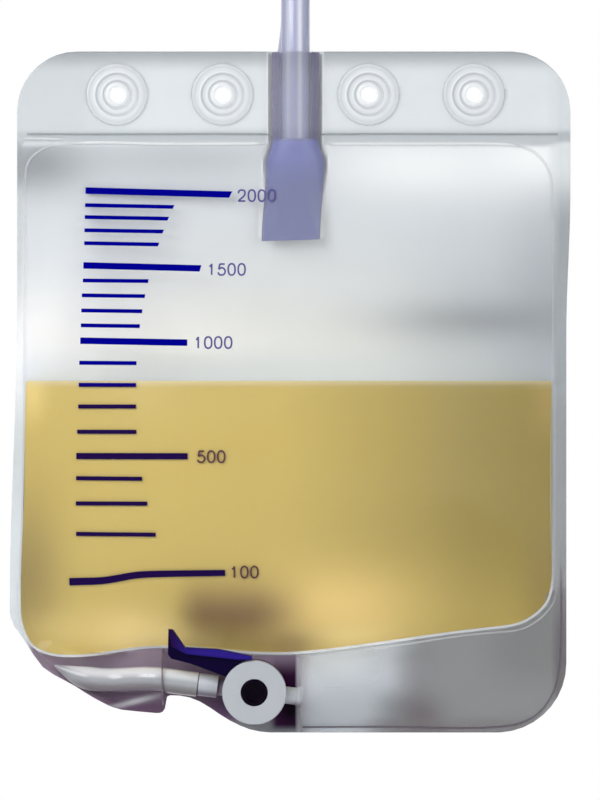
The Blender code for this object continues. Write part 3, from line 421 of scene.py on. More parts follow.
def outward(mesh: Mesh) -> None:
    """Turns the faces outwards."""
    shape = bmesh.new()
    shape.from_mesh(mesh)
    bmesh.ops.recalc_face_normals(shape, faces=shape.faces)
    shape.to_mesh(mesh)
    shape.free()


def mend(mesh: Mesh) -> None:
    """Merges doubles, drops what has no area and turns the faces outwards."""
    shape = bmesh.new()
    shape.from_mesh(mesh)
    bmesh.ops.remove_doubles(shape, verts=shape.verts, dist=1e-6)
    bmesh.ops.dissolve_degenerate(shape, edges=shape.edges, dist=1e-7)
    bmesh.ops.recalc_face_normals(shape, faces=shape.faces)
    shape.to_mesh(mesh)
    shape.free()


def add_field(mesh: Mesh, name: str, colours: Array) -> None:
    """Stores a linear colour for each point, with the fourth channel 1 where it isn't given."""
    if colours.shape[-1] == 3:
        colours = np.concatenate([colours, np.ones((*colours.shape[:-1], 1))], axis=-1)
    layer = mesh.attributes.new(name, "FLOAT_COLOR", "POINT")
    layer.data.foreach_set("color", np.ascontiguousarray(colours, np.float32).reshape(-1))


def places(mesh: Mesh) -> Array:
    """The mesh's points, as an array of n by 3."""
    flat = np.zeros(len(mesh.vertices) * 3)
    mesh.vertices.foreach_get("co", flat)
    return flat.reshape(-1, 3)


def add_clearness(mesh: Mesh, solid: Array) -> None:
    """Stores how solid a film looks at each point, 0 to 1."""
    add_field(mesh, "clear", np.repeat(np.asarray(solid, float)[..., None], 3, axis=-1))


def shown(
    name: str, mesh: Mesh, material: Material, body: Body | None
) -> Object:
    """Makes a mesh a smooth piece that rides on a body.

    Args:
        name: Name of the piece.
        mesh: Its mesh, in the row frame.
        material: Its one material.
        body: The body it moves with, or None for the stage.

    Returns:
        The new object.
    """
    item = bpy.data.objects.new(name, mesh)
    bpy.context.scene.collection.objects.link(item)
    mesh.materials.clear()
    mesh.materials.append(material)
    mesh.polygons.foreach_set("use_smooth", np.ones(len(mesh.polygons), bool))
    if body is not None:
        mesh.set_sharp_from_angle(angle=math.radians(38.0))
        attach(item, body.value)
        LOG.info("%s: %d faces on %s", name, len(mesh.polygons), body.value)
    return item


def joined(meshes: Sequence[Mesh], name: str) -> Mesh:
    """Joins closed meshes into one, keeping every shell as it is."""
    shape = bmesh.new()
    for mesh in meshes:
        shape.from_mesh(mesh)
    made = bpy.data.meshes.new(name)
    shape.to_mesh(made)
    shape.free()
    return made


def turned(
    name: str,
    profile: Profile,
    origin: Sequence[float],
    axis: Sequence[float],
    segments: int = 96,
    reshape: Callable[[Array], Array] | None = None,
) -> Mesh:
    """Turns a closed profile about an axis: origin + axis * distance + radius * (cos a, sin a) across it.

    Args:
        name: Name of the mesh.
        profile: Corners as (radius, distance along the axis), in order round the section.
        origin: A point on the axis.
        axis: Its direction.
        segments: Steps round the axis.
        reshape: A change to the finished points, such as a flat.

    Returns:
        A closed mesh.
    """
    along = np.array(axis, float) / np.linalg.norm(axis)
    first = np.cross(along, (0.0, 0.0, 1.0) if abs(along[2]) < 0.9 else (1.0, 0.0, 0.0))
    first /= np.linalg.norm(first)
    second = np.cross(along, first)
    section = np.array(profile, float)
    turn = angles(segments)[:, None, None]
    around = np.cos(turn) * first + np.sin(turn) * second
    points = np.array(origin, float) + section[None, :, 1:2] * along + section[None, :, 0:1] * around
    if reshape is not None:
        points = reshape(points)
    mesh = into_mesh(name, points, grid_faces(segments, len(section), around=True, along=True))
    mend(mesh)
    return mesh


def eased(corners: Sequence[tuple[float, float, float]], steps: int = 4) -> list[tuple[float, float]]:
    """Rounds the corners of a closed outline: each (a, b, radius) becomes an arc between its tangent points.

    The arc is the quadratic curve p0 (1-t)^2 + 2 p t (1-t) + p1 t^2, close to a circle at these sizes.
    """
    count = len(corners)
    made: list[tuple[float, float]] = []
    for i, (a, b, radius) in enumerate(corners):
        here = np.array([a, b])
        if radius <= 0.0:
            made.append((a, b))
            continue
        ends = []
        for other in (corners[i - 1], corners[(i + 1) % count]):
            arm = np.array(other[:2]) - here
            length = np.linalg.norm(arm)
            ends.append(here + arm / length * min(radius, length * 0.49))
        t = np.linspace(0.0, 1.0, steps + 1)[:, None]
        arc = ends[0] * (1 - t) ** 2 + 2 * here * t * (1 - t) + ends[1] * t**2
        made.extend((float(p[0]), float(p[1])) for p in arc)
    return made


def swept(name: str, path: Array, section: Array, widths: Array | None = None) -> Mesh:
    """Carries a closed section along a path, in frames turned as little as possible from one to the next.

    Args:
        name: Name of the mesh.
        path: Points of the centre line.
        section: Points (a, b) round the section, in metres.
        widths: A factor on the section at each point of the path.

    Returns:
        A mesh with the section's points along its second axis.
    """
    forward = np.gradient(path, axis=0)
    forward /= np.linalg.norm(forward, axis=1)[:, None]
    start = np.cross(forward[0], (0.0, 0.0, 1.0) if abs(forward[0, 2]) < 0.9 else (0.0, 1.0, 0.0))
    sides = np.zeros_like(path)
    sides[0] = start / np.linalg.norm(start)
    for i in range(1, len(path)):
        side = sides[i - 1] - forward[i] * np.dot(sides[i - 1], forward[i])
        sides[i] = side / np.linalg.norm(side)
    ups = np.cross(forward, sides)
    scale = np.ones(len(path)) if widths is None else widths
    a = section[None, :, 0:1] * scale[:, None, None]
    b = section[None, :, 1:2] * scale[:, None, None]
    points = path[:, None, :] + a * sides[:, None, :] + b * ups[:, None, :]
    return into_mesh(name, points, grid_faces(len(points), len(section), around=True))


def closed(points: Array) -> Array:
    """Adds a ring at each end of a tube of rings, drawn together at the middle of the ring beside it."""
    middles = points[[0, -1]].mean(axis=1, keepdims=True)
    ends = np.repeat(middles, points.shape[1], axis=1)
    return np.concatenate([ends[:1], points, ends[1:]], axis=0)


def ring_section(radius: float, sides: int) -> Array:
    """A circle as a section: radius times (cos a, sin a)."""
    turn = angles(sides)
    return np.stack([radius * np.cos(turn), radius * np.sin(turn)], axis=1)


def slab(name: str, outline: Profile, back: float, front: float, edge: float) -> Mesh:
    """A flat outline (x, z) given depth from back to front, with its edges rounded by a Bevel.

    Args:
        name: Name of the mesh.
        outline: Corners in order.
        back: Depth of the back face.
        front: Depth of the front face.
        edge: Width of the rounding.

    Returns:
        A closed mesh.
    """
    flat = np.array(outline, float)
    count = len(flat)
    rings = [np.stack([flat[:, 0], np.full(count, -depth), flat[:, 1]], axis=1) for depth in (back, front)]
    faces = [*grid_faces(2, count, around=True).tolist(), [*range(count)][::-1], [*range(count, 2 * count)]]
    made = bpy.data.meshes.new(name)
    made.from_pydata(np.concatenate(rings), [], faces)
    shape = bmesh.new()
    shape.from_mesh(made)
    bmesh.ops.recalc_face_normals(shape, faces=shape.faces)
    caps = [face for face in shape.faces if len(face.verts) == count]
    rims = [e for cap in caps for e in cap.edges]
    bmesh.ops.bevel(shape, geom=rims, offset=edge, segments=2, affect="EDGES", clamp_overlap=True)
    bmesh.ops.triangulate(shape, faces=[f for f in shape.faces if len(f.verts) > 4])
    shape.to_mesh(made)
    shape.free()
    return made


def ribbon(
    name: str,
    path: Array,
    half_width: Array | float,
    lift: Array,
    depth: Callable[[Array, Array], Array],
    sunk: float = 0.0002,
    slant: float = 0.0,
) -> Mesh:
    """A thin band that lies on a film: the path, moved across it, at the film's depth plus the lift.

    Args:
        name: Name of the mesh.
        path: Points (x, z) of its middle line.
        half_width: Half its width, alone or at each point.
        lift: Height over the film at evenly spaced places across the band.
        depth: Depth of the surface it lies on, at (x, z).
        sunk: How far its underside lies in the film.
        slant: How far the far end's upper corner stands beyond its middle.

    Returns:
        A mesh closed at its near end and open at its far end.
    """
    forward = np.gradient(path, axis=0)
    forward /= np.linalg.norm(forward, axis=1)[:, None]
    across = np.stack([-forward[:, 1], forward[:, 0]], axis=1)
    share = np.linspace(-1.0, 1.0, len(lift))
    wide = np.broadcast_to(np.asarray(half_width, float), (len(path),))
    flat = path[:, None, :] + across[:, None, :] * (share[None, :] * wide[:, None])[..., None]
    along = np.linspace(0.0, 1.0, len(path))
    flat = flat + forward[:, None, :] * (slant * along[:, None] ** 4 * share[None, :])[..., None]
    base = depth(flat[..., 0], flat[..., 1])
    upper = np.stack([flat[..., 0], -(base + lift[None, :]), flat[..., 1]], axis=-1)
    lower = np.stack([flat[..., 0], -(base - sunk), flat[..., 1]], axis=-1)[:, ::-1]
    points = closed(np.concatenate([upper, lower], axis=1))[:-1]
    mesh = into_mesh(name, points, grid_faces(len(points), points.shape[1], around=True))
    mend(mesh)
    return mesh


# Shader nodes


class Value:
    """A socket of a shader tree that takes part in arithmetic."""

    def __init__(self, tree: Tree, socket: bpy.types.NodeSocket) -> None:
        """Keeps the tree and the socket."""
        self.tree = tree
        self.socket = socket

    def _with(self, operation: str, first: Value | float, second: Value | float) -> Value:
        """Adds one Math node."""
        return self.tree.add("Math", {"operation": operation}, {0: first, 1: second})

    def __add__(self, other: Value | float) -> Value:
        """Sum."""
        return self._with("ADD", self, other)

    def __sub__(self, other: Value | float) -> Value:
        """Difference."""
        return self._with("SUBTRACT", self, other)

    def __rsub__(self, other: float) -> Value:
        """Difference with a number first."""
        return self._with("SUBTRACT", other, self)

    def __mul__(self, other: Value | float) -> Value:
        """Product."""
        return self._with("MULTIPLY", self, other)

    __radd__ = __add__
    __rmul__ = __mul__


class Tree:
    """A material's nodes, each made by one method."""

    def __init__(self, name: str) -> None:
        """Makes an empty material of that name."""
        self.material = bpy.data.materials.new(name)
        self.material.use_nodes = True
        self.nodes = self.material.node_tree.nodes
        self.links = self.material.node_tree.links
        self.nodes.clear()

    def add(
        self,
        kind: str,
        settings: dict[str, object] | None = None,
        inputs: dict[int | str, Value | float | Sequence[float]] | None = None,
        out: int | str = 0,
    ) -> Value:
        """Adds a node.

        Args:
            kind: The node's type, after the word ShaderNode.
            settings: Its own settings, set first.
            inputs: Values or links of its sockets, by number or name.
            out: The socket to return.

        Returns:
            That socket, wrapped.
        """
        node = self.nodes.new("ShaderNode" + kind)
        for key, value in (settings or {}).items():
            setattr(node, key, value)
        for key, value in (inputs or {}).items():
            socket = node.inputs[key]
            if isinstance(value, Value):
                self.links.new(value.socket, socket)
            elif isinstance(value, np.ndarray):
                socket.default_value = (*[float(v) for v in value], 1.0)[: len(socket.default_value)]
            else:
                socket.default_value = value
        return Value(self, node.outputs[out]) if node.outputs else Value(self, None)

    def field(self, name: str, out: str = "Color") -> Value:
        """A field that the mesh holds at its points."""
        return self.add("Attribute", {"attribute_name": name}, out=out)

    def place(self, scale: Sequence[float] = (1.0, 1.0, 1.0)) -> Value:
        """Object coordinates, stretched by a Mapping node."""
        here = self.add("TexCoord", out="Object")
        return self.add("Mapping", {}, {"Vector": here, "Scale": tuple(scale)})

    def noise(self, scale: float, detail: float = 2.0, stretch: Sequence[float] = (1.0, 1.0, 1.0)) -> Value:
        """Noise on Object coordinates, about 0 to 1 with its middle at a half."""
        inputs = {"Vector": self.place(stretch), "Scale": scale, "Detail": detail, "Roughness": 0.5}
        return self.add("TexNoise", {}, inputs)

    def mixed(
        self, share: Value | float, first: Value | Array, second: Value | Array, way: str = "MIX"
    ) -> Value:
        """Mixes two colours by a share, or multiplies them."""
        settings = {"data_type": "RGBA", "blend_type": way}
        return self.add("Mix", settings, {0: share, 6: first, 7: second}, out=2)

    def bump(self, height: Value, strength: float, distance: float) -> Value:
        """A Bump node."""
        return self.add("Bump", {}, {"Height": height, "Strength": strength, "Distance": distance})

    def surface(self, **inputs: Value | float | Array) -> Material:
        """Ends the tree in a Principled shader. An input's name has underscores for its spaces."""
        named = {key.replace("_", " "): value for key, value in inputs.items()}
        shader = self.add("BsdfPrincipled", {}, named)
        self.add("OutputMaterial", {}, {"Surface": shader})
        return self.material


# Finishes


@dataclass(frozen=True)
class FilmFinish:
    """Clear or milky film whose colour and clearness follow its own fields."""

    name: str
    roughness: float
    see_through: bool
    coat: float = 0.35
    gloss: float = 0.5
    mottle: float = 0.05
    ripple: float = 0.25
    two_faced: bool = False

    def make(self) -> Material:
        """Film with a slow mottle, fine drawn lines and soft ripples that break its shine."""
        tree = Tree(self.name)
        painted = tree.field("tint")
        if self.two_faced:
            facing = tree.add("TexCoord", out="Normal")
            backward = tree.add("SeparateXYZ", {}, {0: facing}, out="Y")
            from_behind = tree.add("Math", {"operation": "GREATER_THAN"}, {0: backward, 1: 0.0})
            painted = tree.mixed(from_behind, painted, tree.field("rear_tint"))
        slow = tree.noise(22.0, 3.0, (0.22, 1.0, 2.4))
        fine = tree.noise(240.0, 2.0, (1.0, 1.0, 0.35))
        share = slow * (self.mottle * 1.4) + fine * (self.mottle * 0.6) + (1.0 - self.mottle)
        grey = tree.add("CombineColor", {}, {0: share, 1: share, 2: share})
        waves = tree.noise(34.0, 1.0, (1.0, 1.0, 2.2)) + fine * 0.0015
        looks: dict[str, Value | float | Array] = {
            "Base_Color": tree.mixed(1.0, painted, grey, "MULTIPLY"),
            "Roughness": slow * 0.16 + (self.roughness - 0.08),
            "Normal": tree.bump(waves, self.ripple, 0.001),
            "Coat_Weight": self.coat,
            "Coat_Roughness": 0.28,
            "Specular_IOR_Level": self.gloss,
            "IOR": 1.5,
        }
        if self.see_through:
            looks["Alpha"] = tree.field("clear", "Fac") * 1.0
        return tree.surface(**looks)


@dataclass(frozen=True)
class LiquidFinish:
    """Amber liquid seen through the film, whose depth of colour follows its own field."""

    name: str = "amber_liquid"
    roughness: float = 0.16

    def make(self) -> Material:
        """Colour from the field with slow clouds of a deeper amber."""
        tree = Tree(self.name)
        clouds = tree.noise(14.0, 3.0, (1.0, 1.0, 1.8))
        deeper = tree.mixed(clouds * 0.22, tree.field("tint"), tone(222, 196, 134), "MULTIPLY")
        rough = clouds * 0.06 + self.roughness
        return tree.surface(Base_Color=deeper, Roughness=rough, Specular_IOR_Level=0.3, IOR=1.34)


@dataclass(frozen=True)
class PlasticFinish:
    """Moulded plastic with a faint mottle and the fine skin that a mould leaves."""

    name: str
    colour: Tone
    shade: Tone
    roughness: float = 0.35
    coat: float = 0.0
    alpha: float = 1.0
    grain: float = 900.0
    gloss: float = 0.5
    painted: bool = False

    def make(self) -> Material:
        """Two tones mixed by slow noise, roughness that varies with it, and a fine bump."""
        tree = Tree(self.name)
        slow = tree.noise(90.0, 3.0)
        skin = tree.noise(self.grain, 2.0)
        colour = tree.mixed(slow * 0.8, tone(*self.colour), tone(*self.shade))
        if self.painted:
            colour = tree.mixed(1.0, tree.field("tint"), colour, "MULTIPLY")
        return tree.surface(
            Base_Color=colour,
            Roughness=slow * 0.14 + (self.roughness - 0.07),
            Normal=tree.bump(skin, 0.12, 0.0002),
            Coat_Weight=self.coat,
            Coat_Roughness=0.15,
            Alpha=self.alpha,
            Specular_IOR_Level=self.gloss,
            IOR=1.49,
        )


@dataclass(frozen=True)
class InkFinish:
    """Screen-printed ink, thin and slightly uneven, whose colour follows its own field."""

    name: str = "scale_ink"

    def make(self) -> Material:
        """Colour from the field, thinned a little by fine noise."""
        tree = Tree(self.name)
        thin = tree.noise(1400.0, 3.0)
        colour = tree.mixed(thin * 0.02, tree.field("tint"), tone(70, 70, 160))
        return tree.surface(Base_Color=colour, Roughness=thin * 0.15 + 0.5, Specular_IOR_Level=0.0)


@dataclass(frozen=True)
class StageFinish:
    """Pale floor that the camera sees as white, and that keeps the object's shadow."""

    name: str = "pale_floor"

    def make(self) -> Material:
        """Plain diffuse for the light, and diffuse plus a glow for camera, glossy and transmitted rays."""
        tree = Tree(self.name)
        ray = tree.add("LightPath", out="Is Camera Ray")
        glossy = Value(tree, ray.socket.node.outputs["Is Glossy Ray"])
        through = Value(tree, ray.socket.node.outputs["Is Transmission Ray"])
        grain = tree.noise(6.0, 2.0)
        pale = tree.mixed(grain, tone(226, 227, 228), tone(232, 232, 232))
        plain = tree.add("BsdfDiffuse", {}, {"Color": pale})
        dim = tree.add("BsdfDiffuse", {}, {"Color": tone(150, 150, 150)})
        glow = tree.add("Emission", {}, {"Color": tone(255, 255, 255), "Strength": 0.8})
        near = tree.add("AddShader", {}, {0: dim, 1: glow})
        white = tree.add("Emission", {}, {"Color": tone(255, 255, 255), "Strength": 1.0})
        away = tree.add("VectorMath", {"operation": "LENGTH"}, {0: tree.place()}, out="Value")
        far = tree.add("MapRange", {}, {"Value": away, "From Min": 0.7, "From Max": 1.6})
        seen = tree.add("MixShader", {}, {0: far, 1: near, 2: white})
        mix = tree.add("MixShader", {}, {0: ray + glossy + through, 1: plain, 2: seen})
        tree.add("OutputMaterial", {}, {"Surface": mix})
        return tree.material


# Films


@dataclass
class FilmPair:
    """The two welded films: one shared grid fitted to the die-cut outline, lifted by each film's depth."""

    shape: BagShape = SHAPE
    corner_steps: int = 9
    stretch_top: float = -0.205
    header_line: float = -0.009
    tube_top: float = -0.068
    lap_left: float = -0.059
    mouth: tuple[float, float] = (-0.0536, -0.0524)
    valve_side: float = 0.017
    lean_start: float = 0.085
    target_cut: float = 0.0118
    edge: float = 0.0012
    lap: float = 0.0008

    def top_edge(self, x: Array) -> Array:
        """Upper edge at x: level, with a quarter circle at each end."""
        s = self.shape
        inside = np.minimum(x - s.left, s.right - x)
        short = np.clip(s.header_radius - inside, 0.0, s.header_radius)
        return s.top - s.header_radius + np.sqrt(np.clip(s.header_radius**2 - short**2, 0.0, None))

    def stations(self) -> tuple[Array, Array]:
        """Grid lines: close at the round corners, the valve, the tap's window and the welds."""
        s = self.shape
        bow = 1.0 - np.cos(np.linspace(0.0, math.pi / 2, self.corner_steps + 1))
        left = s.left + bow * s.header_radius
        right = s.right - bow[::-1] * s.foot_radius
        across = [
            left,
            np.linspace(left[-1], self.lap_left, 20)[1:],
            np.linspace(self.lap_left, s.window_left, 6)[1:],
            np.array(self.mouth),
            np.linspace(self.mouth[1], -self.valve_side, 18)[1:],
            np.linspace(-self.valve_side, s.window_right, 18)[1:],
            np.linspace(s.window_right, self.valve_side, 14)[1:],
            np.linspace(self.valve_side, right[0], 34)[1:],
            right[1:],
        ]
        foot = s.foot_line_mm[-1][1] * MILLIMETRE
        levels = [foot, s.pocket_foot, s.window_top, self.stretch_top, s.liquid_level]
        levels += [self.tube_top, s.chamber_top, self.header_line, s.top]
        counts = (4, 22, 18, 34, 22, 26, 9, 20)
        rows = [np.linspace(a, b, n)[1:] for a, b, n in zip(levels[:-1], levels[1:], counts, strict=True)]
        return np.concatenate(across), np.concatenate([[foot], *rows])

    def plane(self) -> tuple[Array, Array]:
        """Places (x, z) of the grid: rows squeezed to the two edges, and columns leant to the two sides."""
        s = self.shape
        across, up = self.stations()
        a, b = np.meshgrid(across, up, indexing="ij")
        left_share = np.clip((-self.lean_start - a) / (-self.lean_start - s.left), 0.0, 1.0)
        right_share = np.clip((a - self.lean_start) / (s.right - self.lean_start), 0.0, 1.0)
        lean = fall(b, -0.09, 0.12) * s.left_lean * left_share
        lean = lean + fall(b, -0.04, 0.06) * s.right_lean * right_share
        low = s.foot_edge(a + s.left_lean * left_share + s.right_lean * right_share)
        high = self.top_edge(a)
        foot = up[0]
        middle = np.maximum(s.window_top, low + 0.006)
        share = (b - foot) / (s.window_top - foot)
        z = np.where(b <= s.window_top, low + share * (middle - low), b)
        share = (b - s.window_top) / (self.stretch_top - s.window_top)
        between = (b > s.window_top) & (b < self.stretch_top)
        z = np.where(between, middle + share * (self.stretch_top - middle), z)
        share = (b - self.header_line) / (s.top - self.header_line)
        z = np.where(b > self.header_line, self.header_line + share * (high - self.header_line), z)
        return a + lean, z

    def tint(self, x: Array, z: Array) -> Array:
        """Colour of the film, much of it painted light and shade: chamber, borders, header, pocket and flap.
        """
        s = self.shape
        layers = [*self.chamber_painted_light(x, z), *self.border_layers(x, z), *self.header_layers(x, z)]
        colour = layered(filled(x.shape, 218, 223, 227), layers)
        below = fall(z, s.chamber_foot(x) + self.lap, 2 * self.lap) * rise(x, -0.1125, 0.0025)
        below = np.where(x > s.chamber_right - 0.0004, fall(z, -0.196, 0.034), below)
        pocket = below * rise(x, s.window_right - 0.0014, 0.0014)
        flap = below * fall(x, s.window_right - 0.0004, 0.0014)
        colour = blend(colour, self.pocket_tint(x, z), pocket)
        return layered(colour, self.flap_painted_shade(x, z, flap))

    def chamber_painted_light(self, x: Array, z: Array) -> Layers:
        """Painted light on the chamber's grey: highlights, shade to the right, crease shadows under the
        header.
        """
        lower = fall(z, -0.045, 0.045)
        under = fall(z, self.shape.chamber_top, 0.001)
        return (
            ((236, 240, 242), hill(x, z, (0.004, -0.104), (0.045, 0.024)) * 0.75),
            ((190, 196, 201), rise(x, 0.026, 0.07) * (0.35 + 0.65 * lower)),
            ((172, 178, 183), rise(x, 0.078, 0.03) * (0.45 + 0.45 * lower)),
            ((252, 254, 255), hill(x, z, (-0.06, -0.106), (0.05, 0.033)) * 0.92),
            ((255, 255, 255), hill(x, z, (-0.108, -0.103), (0.024, 0.023)) * 0.95),
            ((152, 157, 162), hill(x, z, (0.085, -0.094), (0.046, 0.0085)) * 0.75),
            # Painted: a bluish patch above the liquid that cancels the warm light bounced off it.
            ((226, 238, 255), hill(x, z, (-0.03, -0.117), (0.1, 0.01)) * 0.7),
            ((194, 200, 204), under * hill(x, z, (-0.048, -0.027), (0.056, 0.01)) * 0.95),
            ((154, 159, 164), under * hill(x, z, (-0.109, -0.029), (0.022, 0.0125)) * 0.92),
            ((246, 248, 249), under * hill(x, z, (0.1, -0.026), (0.026, 0.015)) * 0.95),
            ((243, 245, 246), under * hill(x, z, (0.052, -0.03), (0.04, 0.013)) * 0.9),
        )

    def border_layers(self, x: Array, z: Array) -> Layers:
        """Greys of the welded border beside the chamber, with a painted highlight and corner shadow on the
        left and painted shade down the right.
        """
        s = self.shape
        left = fall(x, s.chamber_left - s.left_shift(z), self.edge)
        right = rise(x, s.chamber_right, self.edge)
        border = np.clip(left + right, 0.0, 1.0)
        left_edge = border * (x < 0.0)
        return (
            ((204, 209, 212), border * 0.85 * rise(z, -0.19, 0.05)),
            # Painted light: highlight and corner shadow down the left, shade growing down the right.
            ((252, 253, 254), left_edge * bell(z, -0.108, 0.026) * 0.85),
            ((160, 166, 170), left_edge * bell(z, -0.029, 0.01, 4) * 0.9),
            ((232, 236, 238), right * rise(z, -0.044, 0.014) * 0.9),
            ((176, 181, 185), right * fall(z, -0.038, 0.018)),
            ((166, 169, 171), right * fall(z, s.liquid_level, 0.012) * 0.9),
            ((160, 160, 164), right * fall(z, -0.168, 0.045) * 0.9),
        )

    def header_layers(self, x: Array, z: Array) -> Layers:
        """Greys of the header, darker along its top and to the left, and a painted highlight down beside the
        valve.
        """
        s = self.shape
        header = rise(z, -0.0155, self.edge)
        beside = np.abs(x - s.valve_middle(z)) - s.sleeve_size(z)[0]
        return (
            ((197, 203, 207), rise(z, -0.0205, self.edge)),
            ((224, 229, 232), header),
            ((211, 216, 219), header * fall(x, -0.068, 0.026) * 0.9),
            ((164, 170, 175), rise(z, 0.0085, 0.0095) * 0.85),
            # Painted highlight beside the valve, lifting the shade where the films tent over it.
            ((250, 254, 255), bell(beside, 0.0006, 0.0011) * rise(z, s.sleeve_foot, 0.002)),
        )

    def pocket_tint(self, x: Array, z: Array) -> Array:
        """Greys of the pocket: pale over the stub, a dark band beside it and a dark rim, a painted highlight
        and painted shade at its mouth.
        """
        low = fall(z, -0.244, 0.012)
        foot = self.shape.chamber_foot(x)
        band = bell(x + (z + 0.25) * 0.1, 0.0515, 0.0088)
        layers = (
            ((152, 156, 160), rise(x, 0.026, 0.018) * low * 0.9),
            ((159, 161, 163), rise(x, 0.0375, 0.0165)),
            ((150, 150, 154), band * fall(z, foot - 0.002, 0.006) * 0.6),
            ((124, 115, 122), band * fall(z, -0.246, 0.014) * 0.8),
            ((146, 147, 147), rise(x, 0.07, 0.025) * rise(z, -0.254, 0.02) * 0.8),
            # Painted highlight at the pocket's upper left.
            ((238, 243, 246), hill(x, z, (0.019, -0.2385), (0.0165, 0.007)) * 0.6),
            ((142, 139, 142), fall(z, -0.259, 0.003) * 0.6 * rise(x, 0.02, 0.02)),
            ((124, 118, 124), rise(x, 0.1075, 0.002) * 0.8),
            # Painted shade along the pocket's mouth.
            ((150, 141, 154), bell(x, self.shape.window_right, 0.003) * 0.6),
        )
        return layered(filled(x.shape, 206, 212, 218), layers)

    def flap_painted_shade(self, x: Array, z: Array, flap: Array) -> Layers:
        """Painted shade of the flap and the tap's window: mauve, darker under the tube, near black by the
        tap, with a painted highlight streak.
        """
        upper = fall(x, -0.055, 0.001) * rise(z, -0.245, 0.005)
        shade_under_tube = flap * fall(z, -0.2485, 0.003) * (x < -0.04)
        highlight_streak = hill(x, z + (x + 0.066) * -0.25, (-0.066, -0.253), (0.01, 0.0011))
        # Painted shadow, near black, behind the tap and in the pocket's mouth.
        behind = rise(x, -0.0115, 0.004) * fall(x, 0.0012, 0.0014)
        behind = behind * fall(z, -0.2325, 0.0105)
        mouth = bell(x, -0.0022, 0.003, 4) * hill(x, z, (-0.002, -0.257), (1.0, 0.0045))
        return (
            ((126, 110, 128), flap),
            # Painted light lifts the flap's upper left against the shade of the film's tent.
            ((150, 134, 151), flap * upper),
            ((128, 106, 132), shade_under_tube * 0.7),
            ((98, 74, 100), shade_under_tube * fall(z, -0.251, 0.004) * 0.8),
            ((214, 217, 221), flap * highlight_streak * (x < -0.0555)),
            ((90, 62, 98), flap * hill(x, z, (-0.029, -0.256), (0.01, 0.007)) * 0.9),
            ((130, 132, 138), flap * fall(z, -0.26, 0.0035) * (x > -0.05)),
            ((44, 10, 48), flap * behind * rise(z, -0.2662, 0.0032)),
            ((6, 0, 12), flap * mouth),
        )

    def clearness(self, x: Array, z: Array) -> Array:
        """How solid the front film looks: nearly clear over the chamber, a little hazy where it is welded."""
        s = self.shape
        foot = s.chamber_foot(x)
        wet = fall(z, s.liquid_level, 0.002)
        solid = np.full(x.shape, 0.075) - 0.035 * wet
        solid = solid + rise(z, -0.02, 0.003) * 0.02
        solid = solid + rise(x, s.chamber_right, self.edge) * 0.1
        below = fall(z, foot, 2 * self.lap)
        solid = solid + below * np.where(x > s.window_right - 0.0005, 0.28, 0.04)
        return np.clip(solid, 0.03, 0.9)

    def kept(self, x: Array, z: Array, side: Side) -> Array:
        """Which quads stay: none under a hanger target, and none in the window of the front film."""
        s = self.shape
        stay = np.ones((x.shape[0] - 1, x.shape[1] - 1), bool)
        for place in s.hole_places:
            near = np.hypot(x - place, z) < self.target_cut
            stay &= ~(near[:-1, :-1] & near[1:, :-1] & near[1:, 1:] & near[:-1, 1:])
        if side is Side.FRONT:
            middle_x = (x[:-1, :-1] + x[1:, 1:]) / 2
            middle_z = (z[:-1, :-1] + z[1:, 1:]) / 2
            stay &= ~((middle_x > s.window_left) & (middle_x < s.window_right) & (middle_z < s.window_top))
        return stay

    def make(self, side: Side, name: str, node: str, slot: str, material: Material) -> None:
        """Builds one film with its thickness and its fields of colour and clearness.

        Args:
            side: Which film.
            name: Name of the piece.
            node: The solid that it replaces.
            slot: Not used.
            material: Its material.
        """
        s = self.shape
        x, z = self.plane()
        y = -side.value * s.depth(x, z, side)
        faces = grid_faces(*x.shape).reshape(*(np.array(x.shape) - 1), 4)[self.kept(x, z, side)]
        mesh = into_mesh(name, np.stack([x, y, z], axis=-1), faces)
        add_field(mesh, "tint", self.tint(x, z))
        if side is Side.BACK:
            add_field(mesh, "rear_tint", self.rear_tint(x, z))
        add_clearness(mesh, self.clearness(x, z))
        shape = bmesh.new()
        shape.from_mesh(mesh)
        bmesh.ops.delete(shape, geom=[v for v in shape.verts if not v.link_faces], context="VERTS")
        bmesh.ops.recalc_face_normals(shape, faces=shape.faces)
        if sum(f.normal.y for f in shape.faces) * side.value > 0:
            bmesh.ops.reverse_faces(shape, faces=shape.faces)
        shape.to_mesh(mesh)
        shape.free()
        item = shown(name, mesh, material, Body.BAG)
        wall = item.modifiers.new("film", "SOLIDIFY")
        wall.thickness = s.film
        wall.offset = 1.0
        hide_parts(node)

    def rear_tint(self, x: Array, z: Array) -> Array:
        """Colour of the back sheet's rear face: pale film, amber where the liquid lies against it."""
        s = self.shape
        layers = (
            ((224, 229, 232), rise(z, -0.02, 0.002)),
            ((208, 184, 112), fall(z, s.liquid_level, 0.003) * smoothstep(s.pillow(x, z) * 14.0)),
            ((196, 200, 205), fall(z, s.chamber_foot(x) + self.lap, 2 * self.lap)),
        )
        return layered(filled(x.shape, 212, 217, 221), layers)


